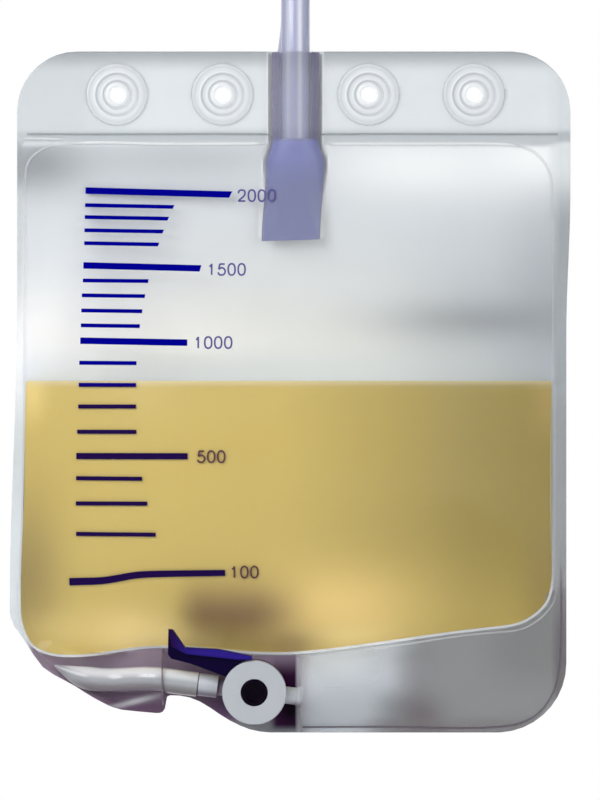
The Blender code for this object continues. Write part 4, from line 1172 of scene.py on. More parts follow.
@dataclass
class HangerTargets:
    """Four punched holes, each in an embossed target of three rings."""

    shape: BagShape = SHAPE
    hole_radius: float = 0.0032
    ridges: tuple[float, ...] = (0.00605, 0.00907, 0.01205)
    ridge_shares: tuple[float, ...] = (1.0, 0.8, 0.3)
    ridge_height: float = 0.0004
    edge: float = 0.0136
    proud: float = 0.00006
    steps: int = 72

    def height(self, radius: Array) -> Array:
        """Emboss at a radius: a narrow bell on each ring, a raised lip at the hole and a dish between."""
        ridges = zip(self.ridges, self.ridge_shares, strict=True)
        rings = sum(share * bell(radius, ridge, 0.00038) for ridge, share in ridges)
        lip = bell(radius - self.hole_radius, 0.0007, 0.0006) * 0.9
        dish = 0.25 * np.cos((radius - self.hole_radius) / (self.edge - self.hole_radius) * 3.0 * math.pi)
        fade = fall(radius, self.edge, 0.0016)
        return self.ridge_height * (rings + lip + dish) * fade

    def tint(self, radius: Array) -> Array:
        """Grey as the header, with painted shade inside each ring, a painted highlight outside it and a
        whiter patch round the hole.
        """
        outer = 1.0 - 0.45 * rise(radius, 0.01, 0.001)
        # Painted shade and highlight of each embossed ring, fainter on the outer ring.
        dark = outer * sum(bell(radius - ridge, -0.0005, 0.00062) for ridge in self.ridges)
        pale = sum(bell(radius - ridge, 0.0004, 0.00045) for ridge in self.ridges)
        layers = (
            ((236, 239, 241), fall(radius, 0.0064, 0.0025) * 0.8),
            ((234, 237, 239), np.clip(pale, 0.0, 1.0) * 0.6),
            ((176, 181, 186), np.clip(dark, 0.0, 1.0) * 0.7),
            ((222, 227, 230), rise(radius, 0.0122, 0.0012)),
        )
        return layered(filled(radius.shape, 215, 220, 224), layers)

    def make(self, material: Material) -> None:
        """Builds each target as a turned section through both films."""
        s = self.shape
        radius = np.linspace(self.hole_radius, self.edge, self.steps)
        wall = s.weld_gap / 2 + s.film + self.proud
        front = wall + self.height(radius)
        back = np.full(6, -wall)
        ring = np.concatenate([radius, np.linspace(self.edge, self.hole_radius, 6)])
        profile = list(zip(ring, np.concatenate([front, back]), strict=True))
        for index, place in enumerate(s.hole_places):
            mesh = turned(f"hanger_target_{index + 1}", profile, (place, 0.0, 0.0), (0.0, -1.0, 0.0))
            at = places(mesh)
            away = np.hypot(at[:, 0] - place, at[:, 2])
            add_field(mesh, "tint", self.tint(away))
            add_clearness(mesh, fall(away, self.edge, 0.0018))
            shown(mesh.name, mesh, material, Body.BAG)


@dataclass(frozen=True)
class Bead:
    """One welded bead: its line in millimetres, half width and height, tone and how solid it looks."""

    name: str
    line: Line
    samples: int
    half: float
    height: float
    colour: Tone
    solid: float


@dataclass
class WeldLines:
    """The beads that the welding bars leave: round the chamber, across the header and along the rim."""

    shape: BagShape = SHAPE
    sunk: float = 0.0003
    edge_sunk: float = 0.00002
    right_side: Line = (
        (11.6, -20.5), (25.0, -20.5), (60.0, -20.5), (84.0, -20.6), (92.0, -21.2), (98.5, -23.4),
        (103.5, -28.0), (106.4, -34.0), (107.2, -42.0), (107.3, -120.0), (107.2, -190.0),
    )
    left_side: Line = (
        (-114.6, -190.0), (-113.6, -160.0), (-113.2, -120.0), (-112.8, -45.0), (-112.6, -33.0),
        (-112.2, -30.0), (-110.4, -26.6), (-107.0, -23.6), (-103.0, -21.6), (-98.0, -20.7), (-60.0, -20.5),
        (-25.0, -20.5), (-11.6, -20.5),
    )
    outer: Line = (
        (30.0, -231.6), (46.0, -229.4), (74.4, -225.4), (86.0, -224.4), (96.4, -222.4), (103.2, -217.8),
        (107.4, -212.6), (109.0, -207.0), (109.2, -195.0), (109.2, -160.0), (109.2, -120.0),
    )
    rim: Line = (
        (3.0, -264.1), (50.0, -264.1), (84.0, -264.0), (93.0, -262.6), (101.0, -258.4), (106.6, -251.4),
        (109.6, -243.0), (110.6, -234.0), (110.9, -200.0), (111.0, -150.0),
    )
    header_left: Line = ((-112.0, -16.5), (-80.0, -16.6), (-40.0, -16.5), (-10.6, -16.6))
    header_right: Line = ((10.6, -16.6), (40.0, -16.5), (80.0, -16.6), (109.6, -16.6))
    shoulder: Line = ((-113.0, -18.4), (-108.0, -18.4), (-103.0, -18.5), (-97.5, -18.7))
    hem: Line = ((-55.2, -231.4), (-55.3, -240.0), (-55.2, -249.0), (-55.3, -256.6))

    def beads(self) -> tuple[Bead, ...]:
        """Every bead of the bag."""
        # Pale: the whitish weld with a painted highlight on its crest. Grey: painted shadow in the header's
        # fold.
        pale, grey, dark = (244, 247, 249), (150, 155, 161), (104, 94, 106)
        chamber = (*self.right_side, *self.shape.chamber_foot_mm[::-1], *self.left_side)
        return (
            Bead("chamber_weld", chamber, 560, 0.00055, 0.0002, pale, 0.7),
            Bead("outer_weld", self.outer, 160, 0.00038, 0.00014, pale, 0.24),
            Bead("rim_weld", self.rim, 200, 0.00042, 0.00014, dark, 0.62),
            Bead("header_weld_left", self.header_left, 110, 0.00042, 0.00012, grey, 0.26),
            Bead("header_weld_right", self.header_right, 110, 0.00042, 0.00012, grey, 0.26),
            Bead("shoulder_weld", self.shoulder, 30, 0.00045, 0.00014, pale, 0.5),
            Bead("flap_hem", self.hem, 90, 0.00036, 0.00014, dark, 0.5),
        )

    def solidity(self, bead: Bead, x: Array, z: Array) -> Array:
        """A bead shows most along the chamber's top and foot, and fades down its sides and at its ends."""
        solid = np.full(x.shape, bead.solid)
        if bead.name == "chamber_weld":
            upright = fall(z, -0.026, 0.02) * rise(z, -0.214, 0.016)
            solid = solid * (1.0 - 0.88 * upright)
            solid = solid * np.where(z > -0.05, rise(np.abs(x), 0.0115, 0.006), 1.0)
            low = fall(z, -0.205, 0.01)
            solid = solid * (1.0 - 0.68 * rise(np.abs(x), 0.086, 0.01) * (z > -0.05))
            solid = solid * (1.0 - 0.45 * low * fall(x, 0.006, 0.01))
            solid = solid * (1.0 - 0.4 * low * rise(x, 0.04, 0.02))
        if bead.name in ("outer_weld", "rim_weld"):
            solid = solid * fall(z, -0.19, 0.034)
        return solid

    def make(self, material: Material) -> None:
        """Lays each bead on the front film as a ribbon whose section is an arch: height * (1 - share^2)."""
        arch = 1.0 - np.linspace(-1.0, 1.0, 5) ** 2
        for bead in self.beads():
            line = natural_curve(np.array(bead.line) * MILLIMETRE, bead.samples)
            lift = bead.height * arch - self.edge_sunk
            mesh = ribbon(bead.name, line, bead.half, lift, self.shape.outer_face, self.sunk)
            at = places(mesh)
            add_field(mesh, "tint", filled((len(at),), *bead.colour))
            add_clearness(mesh, self.solidity(bead, at[:, 0], at[:, 2]))
            shown(bead.name, mesh, material, Body.BAG)


# Printed scale


@dataclass(frozen=True)
class Mark:
    """One line of the scale: its ends, the heights of both and its width, in millimetres."""

    left: float
    right: float
    height_left: float
    height_right: float
    width: float


STROKES: dict[str, tuple[Line, ...]] = {
    "1": (((0.5, 0.0), (0.5, 0.5), (0.5, 1.0)), ((0.2, 0.74), (0.38, 0.84), (0.5, 1.0))),
    "2": (
        (
            (0.04, 0.7), (0.14, 0.93), (0.48, 1.0), (0.84, 0.92),
            (0.92, 0.7), (0.74, 0.44), (0.3, 0.19), (0.04, 0.02),
        ),
        ((0.0, 0.02), (0.5, 0.02), (0.98, 0.02)),
    ),
    "5": (
        ((0.22, 0.98), (0.55, 0.98), (0.9, 0.98)),
        ((0.24, 0.98), (0.18, 0.75), (0.12, 0.5)),
        (
            (0.12, 0.5), (0.44, 0.64), (0.8, 0.56), (0.96, 0.32),
            (0.8, 0.07), (0.45, 0.0), (0.14, 0.07), (0.02, 0.24),
        ),
    ),
}


@dataclass
class PrintedScale:
    """The graduated scale, printed in blue: bars and plain numbers that lie on the front film."""

    shape: BagShape = SHAPE
    ink_lift: float = 0.00006
    number_height: float = 0.0047
    number_width: float = 0.0031
    number_pitch: float = 0.00415
    stroke: float = 0.00036
    slant: float = 0.0006
    widest_bar: float = 2.7
    marks: tuple[Mark, ...] = (
        Mark(-87.6, -27.0, -40.1, -41.8, 2.7),
        Mark(-87.8, -50.8, -46.2, -47.0, 1.6),
        Mark(-87.9, -53.0, -51.2, -51.9, 1.6),
        Mark(-88.0, -55.1, -56.7, -57.3, 1.6),
        Mark(-88.1, -57.0, -62.1, -62.7, 1.6),
        Mark(-88.4, -39.5, -71.4, -72.7, 2.7),
        Mark(-88.6, -61.2, -77.7, -78.0, 1.6),
        Mark(-89.0, -62.6, -83.9, -84.3, 1.6),
        Mark(-89.2, -63.7, -90.2, -90.6, 1.6),
        Mark(-89.4, -64.7, -96.4, -96.8, 1.6),
        Mark(-89.6, -44.9, -102.8, -103.7, 2.7),
        Mark(-90.0, -66.0, -112.0, -112.2, 1.7),
        Mark(-90.2, -66.2, -121.2, -121.3, 1.7),
        Mark(-90.4, -66.2, -130.2, -130.2, 1.7),
        Mark(-90.8, -66.0, -140.7, -140.7, 1.7),
        Mark(-91.2, -44.7, -150.8, -150.8, 2.6),
        Mark(-91.3, -63.6, -160.0, -160.2, 1.7),
        Mark(-91.4, -61.5, -170.5, -170.5, 1.7),
        Mark(-91.3, -58.0, -183.2, -183.4, 1.7),
    )
    numbers: tuple[tuple[str, float, float], ...] = (
        ("2000", -23.9, -44.6),
        ("1500", -36.4, -75.5),
        ("1000", -41.9, -106.0),
        ("500", -40.6, -153.3),
        ("100", -26.9, -201.3),
    )
    last_bar_mm: Line = (
        (-94.2, -203.2), (-88.0, -203.0), (-80.0, -202.6), (-72.5, -201.4), (-66.0, -200.3),
        (-60.0, -199.9), (-48.0, -199.6), (-29.2, -199.3),
    )

    def tint(self, z: Array, faint: float) -> Array:
        """Blue over the clear part of the bag, darker over the liquid, and paler for the thin numbers."""
        wet = fall(z, self.shape.liquid_level, 0.002)
        base = layered(filled(z.shape, 0, 0, 134), [((30, 12, 66), wet)])
        thin = layered(filled(z.shape, 88, 82, 142), [((96, 66, 66), wet)])
        return blend(base, thin, np.full(z.shape, faint))

    def zero(self) -> Profile:
        """Points round a nought: a ring of unit height, closed past its start."""
        turn = np.linspace(math.pi / 2, math.pi * 2.52, 26)
        x = 0.5 + 0.46 * np.sign(np.cos(turn)) * np.abs(np.cos(turn)) ** 0.85
        y = 0.5 + 0.5 * np.sign(np.sin(turn)) * np.abs(np.sin(turn)) ** 0.85
        return [(float(a), float(b)) for a, b in zip(x, y, strict=True)]

    def band(
        self,
        name: str,
        points: Iterable[Sequence[float]],
        half: Array | float,
        samples: int,
        slant: float = 0.0,
    ) -> Mesh:
        """A flat band of ink on the film, along a smooth line through points given in metres.

        Args:
            name: Name of the mesh.
            points: Places (x, z) that the line passes.
            half: Half its width, alone or at each sample.
            samples: Steps along it.
            slant: How far its far end leans.

        Returns:
            A closed mesh.
        """
        lift = np.full(3, self.ink_lift)
        return ribbon(name, natural_curve(points, samples), half, lift, self.shape.outer_face, slant=slant)

    def bars(self) -> Mesh:
        """All the bars: each a flat band along its line, and the last one along a bent line."""
        made = []
        for index, mark in enumerate(self.marks):
            share = np.linspace(0.0, 1.0, 4)
            x = (mark.left + (mark.right - mark.left) * share) * MILLIMETRE
            z = (mark.height_left + (mark.height_right - mark.height_left) * share) * MILLIMETRE
            tilt = self.slant * mark.width / self.widest_bar * rise(mark.height_left, -100.0, 50.0)
            half = mark.width / 2 * MILLIMETRE
            made.append(self.band(f"bar_{index}", zip(x, z, strict=True), half, 40, tilt))
        bent = [(x * MILLIMETRE, z * MILLIMETRE) for x, z in self.last_bar_mm]
        width = np.linspace(1.55, 1.25, 90) * MILLIMETRE
        made.append(self.band("bar_last", bent, width, 90))
        return joined(made, "scale_bars")

    def digits(self) -> Mesh:
        """The numbers, each figure drawn in its own strokes."""
        made = []
        for text, x_mm, z_mm in self.numbers:
            for index, figure in enumerate(text):
                left = x_mm * MILLIMETRE + index * self.number_pitch
                low = z_mm * MILLIMETRE
                lines = (self.zero(),) if figure == "0" else STROKES[figure]
                for line in lines:
                    at = [(left + a * self.number_width, low + b * self.number_height) for a, b in line]
                    made.append(self.band("figure_" + figure, at, self.stroke, 40 if len(line) > 3 else 8))
        return joined(made, "scale_numbers")

    def make(self, material: Material) -> None:
        """Builds the bars and the numbers, each with its colour field."""
        for mesh, faint in ((self.bars(), 0.0), (self.digits(), 1.0)):
            add_field(mesh, "tint", self.tint(places(mesh)[:, 2], faint))
            shown(mesh.name, mesh, material, Body.BAG)


# What the chamber holds


@dataclass
class Liquid:
    """The liquid: it lies against both films below a level surface that climbs a little at its rim."""

    shape: BagShape = SHAPE
    setback: float = 0.0005
    film_gap: float = 0.0005
    columns: int = 120
    rows: int = 90
    meniscus: float = 0.0009
    climb: float = 0.004
    rim_width: float = 0.003
    thinnest: float = 0.00005
    bulge_start: float = -0.085

    def tint(self, x: Array, z: Array) -> Array:
        """Amber with painted light: highlights in the middle and left, shade deeper to the right and a brown
        shadow over the tap.
        """
        upper = rise(z, -0.222, 0.048)
        rising = 0.45 + 0.55 * upper
        surface = rise(z, self.shape.liquid_level - 0.0016, 0.0016)
        # Painted shadow of the tap, brown, over the liquid above the lever.
        shade = rise(x, -0.0545, 0.016) * fall(x, 0.011, 0.03) * bell(z, -0.217, 0.0125)
        # Besides the paler band at the surface, these layers are painted highlights and painted shade.
        layers = (
            ((164, 145, 66), np.clip((x + 0.006) / 0.078, 0.0, 1.0) * rising),
            ((158, 139, 56), rise(x, 0.046, 0.05) * (0.35 + 0.55 * upper)),
            ((246, 214, 130), hill(x, z, (0.018, -0.214), (0.03, 0.0165)) * 0.95),
            ((146, 126, 60), rise(x, 0.088, 0.018) * fall(z, -0.165, 0.04) * 0.8),
            ((176, 152, 76), rise(x, 0.094, 0.012) * rise(z, -0.15, 0.02) * 0.9),
            ((236, 208, 130), hill(x, z, (-0.068, -0.222), (0.02, 0.009)) * 0.7),
            ((146, 126, 60), hill(x, z, (-0.113, -0.202), (0.016, 0.034)) * 0.9),
            ((236, 212, 128), hill(x, z, (-0.11, -0.124), (0.006, 0.012)) * 0.9),
            ((236, 224, 176), surface * 0.5),
            ((232, 206, 128), hill(x, z, (-0.096, -0.223), (0.015, 0.008)) * 0.4),
            ((118, 82, 36), shade * 0.84),
            ((248, 222, 144), hill(x, z, (-0.062, -0.227), (0.018, 0.0075)) * 0.95),
            ((248, 222, 142), hill(x, z, (0.02, -0.226), (0.022, 0.006)) * 0.8),
            ((142, 112, 54), hill(x, z, (-0.002, -0.2295), (0.012, 0.0075)) * 0.66),
        )
        return layered(filled(x.shape, 205, 181, 92), layers)

    def make(self, material: Material) -> None:
        """Builds the body of liquid as one closed surface: a belt of rows round it, closed at both ends."""
        s = self.shape
        u = np.linspace(0.0, math.pi, self.columns)
        left, right = s.chamber_left + self.setback, s.chamber_right - self.setback
        x = (left + right) / 2 - (right - left) / 2 * np.cos(u)
        moved = np.clip((self.bulge_start - x) / (self.bulge_start - left), 0.0, 1.0) ** 2
        low = (s.chamber_foot(x - moved * s.left_bulge) + self.setback)[:, None]
        v = (1.0 - np.cos(np.linspace(0.0, math.pi / 2, self.rows)))[None, :]
        z = low + (s.liquid_level - low) * v
        x = x[:, None] - moved[:, None] * s.left_shift(z)
        front = np.maximum(s.depth(x, z, Side.FRONT) - self.film_gap, self.thinnest)
        back = np.maximum(s.depth(x, z, Side.BACK) - self.film_gap, self.thinnest)
        climb = self.meniscus * rise(z, s.liquid_level - self.climb, self.climb)
        upper_front = np.stack([x, -front, z + climb], axis=-1)
        upper_back = np.stack([x, back, z + climb], axis=-1)
        rim_x, rim_z = x[:, -1:], z[:, -1:]
        inner_front = np.stack([rim_x, -np.maximum(front[:, -1:] - self.rim_width, 0.0), rim_z], axis=-1)
        inner_back = np.stack([rim_x, np.maximum(back[:, -1:] - self.rim_width, 0.0), rim_z], axis=-1)
        points = closed(np.concatenate([upper_front, inner_front, inner_back, upper_back[:, ::-1]], axis=1))
        mesh = into_mesh("liquid_body", points, grid_faces(len(points), points.shape[1], around=True))
        mend(mesh)
        at = places(mesh)
        add_field(mesh, "tint", self.tint(at[:, 0], at[:, 2]))
        item = shown("liquid_body", mesh, material, Body.BAG)
        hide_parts("contents")


@dataclass
class ValveFlaps:
    """The non-return valve: a blue tinted sleeve round the tube's end, flat and open at its foot."""

    shape: BagShape = SHAPE
    sides: int = 72
    rows: int = 70
    seam: float = 0.0006
    tube_shows: float = 0.0068

    def make(self, material: Material) -> None:
        """Builds the sleeve: an ellipse of the valve's half width and half thickness at each height."""
        s = self.shape
        z = np.linspace(s.sleeve_top, s.sleeve_foot, self.rows)
        width, height = s.sleeve_size(z)
        turn = angles(self.sides)
        flatter = np.sign(np.sin(turn)) * np.abs(np.sin(turn))
        ruffle = 0.00025 * np.sin(turn[None, :] * 5.0 + z[:, None] * 260.0)
        low = fall(z, s.tube_end, 0.03)[:, None]
        x = s.valve_middle(z)[:, None] + width[:, None] * np.cos(turn)[None, :]
        y = (height[:, None] + ruffle * low) * flatter[None, :]
        slant = (np.cos(turn) * 0.0004)[None, :] * low
        points = np.stack([x, y, np.broadcast_to(z[:, None], x.shape) + slant], axis=-1)
        mesh = into_mesh("valve_flaps", points, grid_faces(self.rows, self.sides, around=True))
        outward(mesh)
        up = points[..., 2]
        falling = fall(z, s.tube_end, 0.022)[:, None] * np.ones_like(x)
        above = rise(up, s.tube_end, 0.002)
        over_tube = above * (np.abs(x) < self.tube_shows)
        edge = smoothstep((np.abs(x - s.valve_middle(z)[:, None]) - width[:, None] + self.seam) / 0.0004)
        layers = (
            ((102, 107, 160), falling),
            ((112, 104, 146), above),
            ((160, 162, 208), over_tube),
            ((112, 112, 146), over_tube * rise(up, 0.001, 0.011) * 0.9),
            ((98, 90, 124), edge * 0.9),
        )
        add_field(mesh, "tint", layered(filled(x.shape, 112, 118, 186), layers))
        add_clearness(mesh, 0.9 - 0.14 * above - 0.52 * over_tube)
        item = shown("valve_flaps", mesh, material, Body.BAG)
        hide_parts("valve_sleeve")


# Hose


@dataclass
class InletHose:
    """The clear hose: over the header, down behind the bag and into a tied coil, to its connector."""

    radius: float = 0.006
    sides: int = 64
    # Angles and strengths of the painted highlight lines along the hose.
    lines: Line = ((1.02, 0.6), (1.885, 1.0), (3.9, 0.7), (5.15, 0.5))
    route: Route = (
        (0.0, 0.0, -0.02), (0.0, 0.0, 0.0), (0.0, 0.0, 0.018), (0.0, 0.0005, 0.034),
        (0.0, 0.004, 0.052), (0.0, 0.013, 0.071), (0.0, 0.028, 0.086), (0.0, 0.0475, 0.092),
        (0.0, 0.067, 0.087), (0.0, 0.082, 0.073), (0.0, 0.0885, 0.054), (-0.0005, 0.0865, 0.034),
        (-0.003, 0.079, 0.016), (-0.007, 0.069, 0.001), (-0.0138, 0.0612, -0.0125),
        (-0.0206, 0.0602, -0.0243), (-0.0276, 0.06, -0.0364),
    )
    coil_centre: tuple[float, float] = (0.02, -0.08)
    coil_radius: float = 0.063
    rear_layer: float = 0.06
    coil_start: float = math.radians(150.0)
    coil_pitch: float = 0.0126
    coil_turns: float = 2 + 1 / 12
    tie_angle: float = math.radians(165.0)
    tie_section: Line = (
        (-0.0038, 0.0), (-0.003, 0.0007), (0.0, 0.0009), (0.003, 0.0007),
        (0.0038, 0.0), (0.003, -0.0002), (0.0, -0.0003), (-0.003, -0.0002),
    )
    connector_top: float = -0.1235
    socket: float = 0.017

    def coil(self, count: int) -> Array:
        """The coil: a circle whose depth behind the bag falls by one pitch each turn."""
        turn = self.coil_start + np.linspace(0.0, self.coil_turns * 2 * math.pi, count)
        x = self.coil_centre[0] + self.coil_radius * np.cos(turn)
        z = self.coil_centre[1] + self.coil_radius * np.sin(turn)
        y = self.rear_layer - self.coil_pitch * (turn - self.coil_start) / (2 * math.pi)
        return np.stack([x, y, z], axis=1)

    def path(self) -> Array:
        """The whole centre line, through the route, the coil and the straight tail, evenly spaced."""
        coil = self.coil(56)
        end = coil[-1]
        heights = (-0.095, -0.11, self.connector_top, self.connector_top - self.socket)
        tail = [(end[0], end[1], z) for z in heights]
        return natural_curve([*self.route, *coil, *tail], 520)

    def highlight_streaks(self, count: int) -> Array:
        """Painted highlights: bright lines along the clear wall, each a bell of the angle round it, uneven
        along it.
        """
        turn = angles(self.sides)
        bright = sum(share * bell(turn, at, 0.17) for at, share in self.lines)
        along = 0.88 + 0.12 * np.sin(np.linspace(0.0, 60.0, count))
        share = along[:, None] * bright[None, :]
        layers = [((252, 253, 255), np.clip(share, 0.0, 1.0) * 0.85)]
        return layered(filled(share.shape, 186, 189, 218), layers)

    def far_end(self) -> Array:
        """Centre of the connector's top."""
        end = self.coil(2)[-1]
        return np.array([end[0], end[1], self.connector_top])

    def make(self, tube: Material, band: Material) -> tuple[Object, Object, Array]:
        """Builds the hose and its tie.

        Args:
            tube: Material of the hose.
            band: Material of the tie.

        Returns:
            The hose, the tie and the hose's centre line.
        """
        path = self.path()
        mesh = swept("inlet_hose", path, ring_section(self.radius, self.sides))
        add_field(mesh, "tint", self.highlight_streaks(len(path)))
        outward(mesh)
        hose = shown("inlet_hose", mesh, tube, Body.BAG)
        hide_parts("inlet_tube", "inlet_tube_coil", "inlet_tube_end")
        return hose, self.tie(band), path

    def tie(self, band: Material) -> Object:
        """The tie: a flat band round the turns, in a rectangle rounded by a power of six."""
        out = np.array([math.cos(self.tie_angle), 0.0, math.sin(self.tie_angle)])
        ahead = np.array([-math.sin(self.tie_angle), 0.0, math.cos(self.tie_angle)])
        half_out = self.radius + 0.0011
        back = self.rear_layer + self.radius + 0.0009
        front = self.rear_layer - self.coil_pitch * self.coil_turns - self.radius - 0.0005
        middle = np.array([self.coil_centre[0], (front + back) / 2, self.coil_centre[1]])
        middle = middle + out * self.coil_radius
        deep = (back - front) / 2
        turn = angles(64)
        squared = np.power(np.abs(np.cos(turn)) ** 6 + np.abs(np.sin(turn)) ** 6, -1 / 6)
        ring = middle + (np.cos(turn) * squared * half_out)[:, None] * out
        ring = ring + (np.sin(turn) * squared * deep)[:, None] * np.array([0.0, 1.0, 0.0])
        normal = ring - middle
        normal /= np.linalg.norm(normal, axis=1)[:, None]
        section = np.array(self.tie_section)
        points = ring[:, None, :] + section[None, :, 0:1] * ahead + section[None, :, 1:2] * normal[:, None, :]
        mesh = into_mesh("coil_band", points, grid_faces(64, len(section), around=True, along=True))
        mend(mesh)
        item = shown("coil_band", mesh, band, Body.BAG)
        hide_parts("coil_tie")
        return item


@dataclass
class HoseEnd:
    """The stepped connector on the hose, and the ribbed cap over its nozzle."""

    top: Array
    socket_radius: float = 0.008
    socket_length: float = 0.017
    socket_wall: float = 0.0017
    flange_radius: float = 0.0082
    flange_length: float = 0.0025
    nozzle_base: float = 0.0055
    nozzle_tip: float = 0.0034
    nozzle_length: float = 0.031
    nozzle_bore: float = 0.002
    cap_wall: float = 0.0011
    ribs: int = 20

    def connector(self, material: Material) -> Object:
        """Turns the connector: socket, flange and a nozzle of three tapered steps, bored through."""
        inside = self.socket_radius - self.socket_wall
        start = self.socket_length + self.flange_length
        end = start + self.nozzle_length
        step = self.nozzle_length / 3
        grow = [self.nozzle_base + (self.nozzle_tip - self.nozzle_base) * i / 3 for i in range(4)]
        corners = [
            (inside, 0.0, 0.0003),
            (inside, self.socket_length, 0.0002),
            (self.nozzle_bore, self.socket_length, 0.0003),
            (self.nozzle_bore, end, 0.0003),
            (grow[3], end, 0.0005),
            (grow[2], start + 2 * step + 0.001, 0.0004),
            (grow[3] + 0.0003, start + 2 * step, 0.0002),
            (grow[1], start + step + 0.001, 0.0004),
            (grow[2] + 0.0002, start + step, 0.0002),
            (grow[0], start + 0.001, 0.0004),
            (grow[0] * 0.92, start, 0.0002),
            (self.flange_radius, start, 0.0005),
            (self.flange_radius, self.socket_length, 0.0005),
            (self.socket_radius, self.socket_length - 0.001, 0.0003),
            (self.socket_radius, 0.0, 0.0005),
        ]
        mesh = turned("hose_connector", eased(corners), self.top, (0.0, 0.0, -1.0), 64)
        item = shown("hose_connector", mesh, material, Body.BAG)
        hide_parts("inlet_connector")
        return item

    def cap(self, material: Material) -> Object:
        """Turns the cap, whose outer radius rises and falls in ribs between its collar and its end."""
        start = self.socket_length + self.flange_length + 0.0003
        end = start + self.nozzle_length + 0.0015
        inside = self.nozzle_base + 0.0003
        outer = inside + self.cap_wall
        along = np.linspace(start + 0.0045, end - 0.0015, 24)
        lip = [(inside, end - self.cap_wall, 0.0006), (inside, start, 0.0003), (outer, start, 0.0005)]
        corners = eased(lip) + [(outer, float(a)) for a in along]
        corners += eased([(outer, end + self.cap_wall / 2, 0.0012), (0.0, end + self.cap_wall / 2, 0.0)])
        corners += [(0.0, end - self.cap_wall)]
        top = self.top

        def ribbed(points: Array) -> Array:
            """Adds a rib's height to the outer wall by the cosine of the angle, faded at both ends."""
            away = points[..., :2] - top[:2]
            radius = np.linalg.norm(away, axis=-1, keepdims=True)
            down = (top[2] - points[..., 2])[..., None]
            angle = np.arctan2(away[..., 1], away[..., 0])[..., None]
            rib = np.clip(np.cos(angle * self.ribs), 0.0, 1.0) * 0.00045
            fade = rise(down, start + 0.004, 0.002) * fall(down, end - 0.001, 0.002)
            wall = radius > outer - 0.0002
            grown = away * (1.0 + rib * fade * wall / np.maximum(radius, 1e-6))
            return np.concatenate([grown + top[:2], points[..., 2:]], axis=-1)

        mesh = turned("nozzle_cap", corners, top, (0.0, 0.0, -1.0), 160, ribbed)
        item = shown("nozzle_cap", mesh, material, Body.CAP)
        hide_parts("connector_cap")
        return item


# Outlet and tap


@dataclass
class OutletHose:
    """The short soft tube from the chamber's corner to the tap, pushed over its spigot."""

    shape: BagShape = SHAPE
    wall: float = 0.00105
    samples: int = 90
    sides: int = 48

    def make(self, material: Material) -> None:
        """Carries a ring of outer and inner wall along the tube's line, and closes both ends."""
        s = self.shape
        path = s.outlet_line(self.samples)
        opened = np.clip((path[:, 0] - path[0, 0]) / s.outlet_taper, 0.0, 1.0)
        narrow = 0.12 + 0.88 * np.sin(opened * math.pi / 2)
        walls = []
        for radius in (s.outlet_radius, s.outlet_radius - self.wall):
            wall = swept("outlet_wall", path, ring_section(radius, self.sides), narrow)
            walls.append(places(wall).reshape(self.samples, self.sides, 3))
        points = np.concatenate([walls[0], walls[1][::-1]], axis=0)
        faces = grid_faces(2 * self.samples, self.sides, around=True, along=True)
        mesh = into_mesh("outlet_hose", points, faces)
        middle = np.concatenate([path, path[::-1]])[:, None, :]
        # Painted light by height round the tube: a highlight along its top and shade down its underside.
        up = np.clip((points[..., 2] - middle[..., 2]) / s.outlet_radius, -1.0, 1.0)
        layers = (
            ((132, 130, 133), rise(up, -1.0, 0.55)),
            ((180, 185, 190), rise(up, -0.55, 0.6)),
            ((250, 252, 253), smoothstep(up / 0.6)),
            ((150, 152, 156), rise(up, 0.84, 0.15) * 0.6),
        )
        colour = layered(filled(up.shape, 74, 48, 77), layers)
        colour = colour * (1.0 - 0.16 * rise(points[..., 0], -0.0558, 0.0008))[..., None]
        near_tip = fall(points[..., 0], -0.093, 0.008)
        add_field(mesh, "tint", blend(colour, tone(150, 142, 152), near_tip * 0.8))
        mend(mesh)
        item = shown("outlet_hose", mesh, material, Body.BAG)
        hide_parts("outlet_tube")


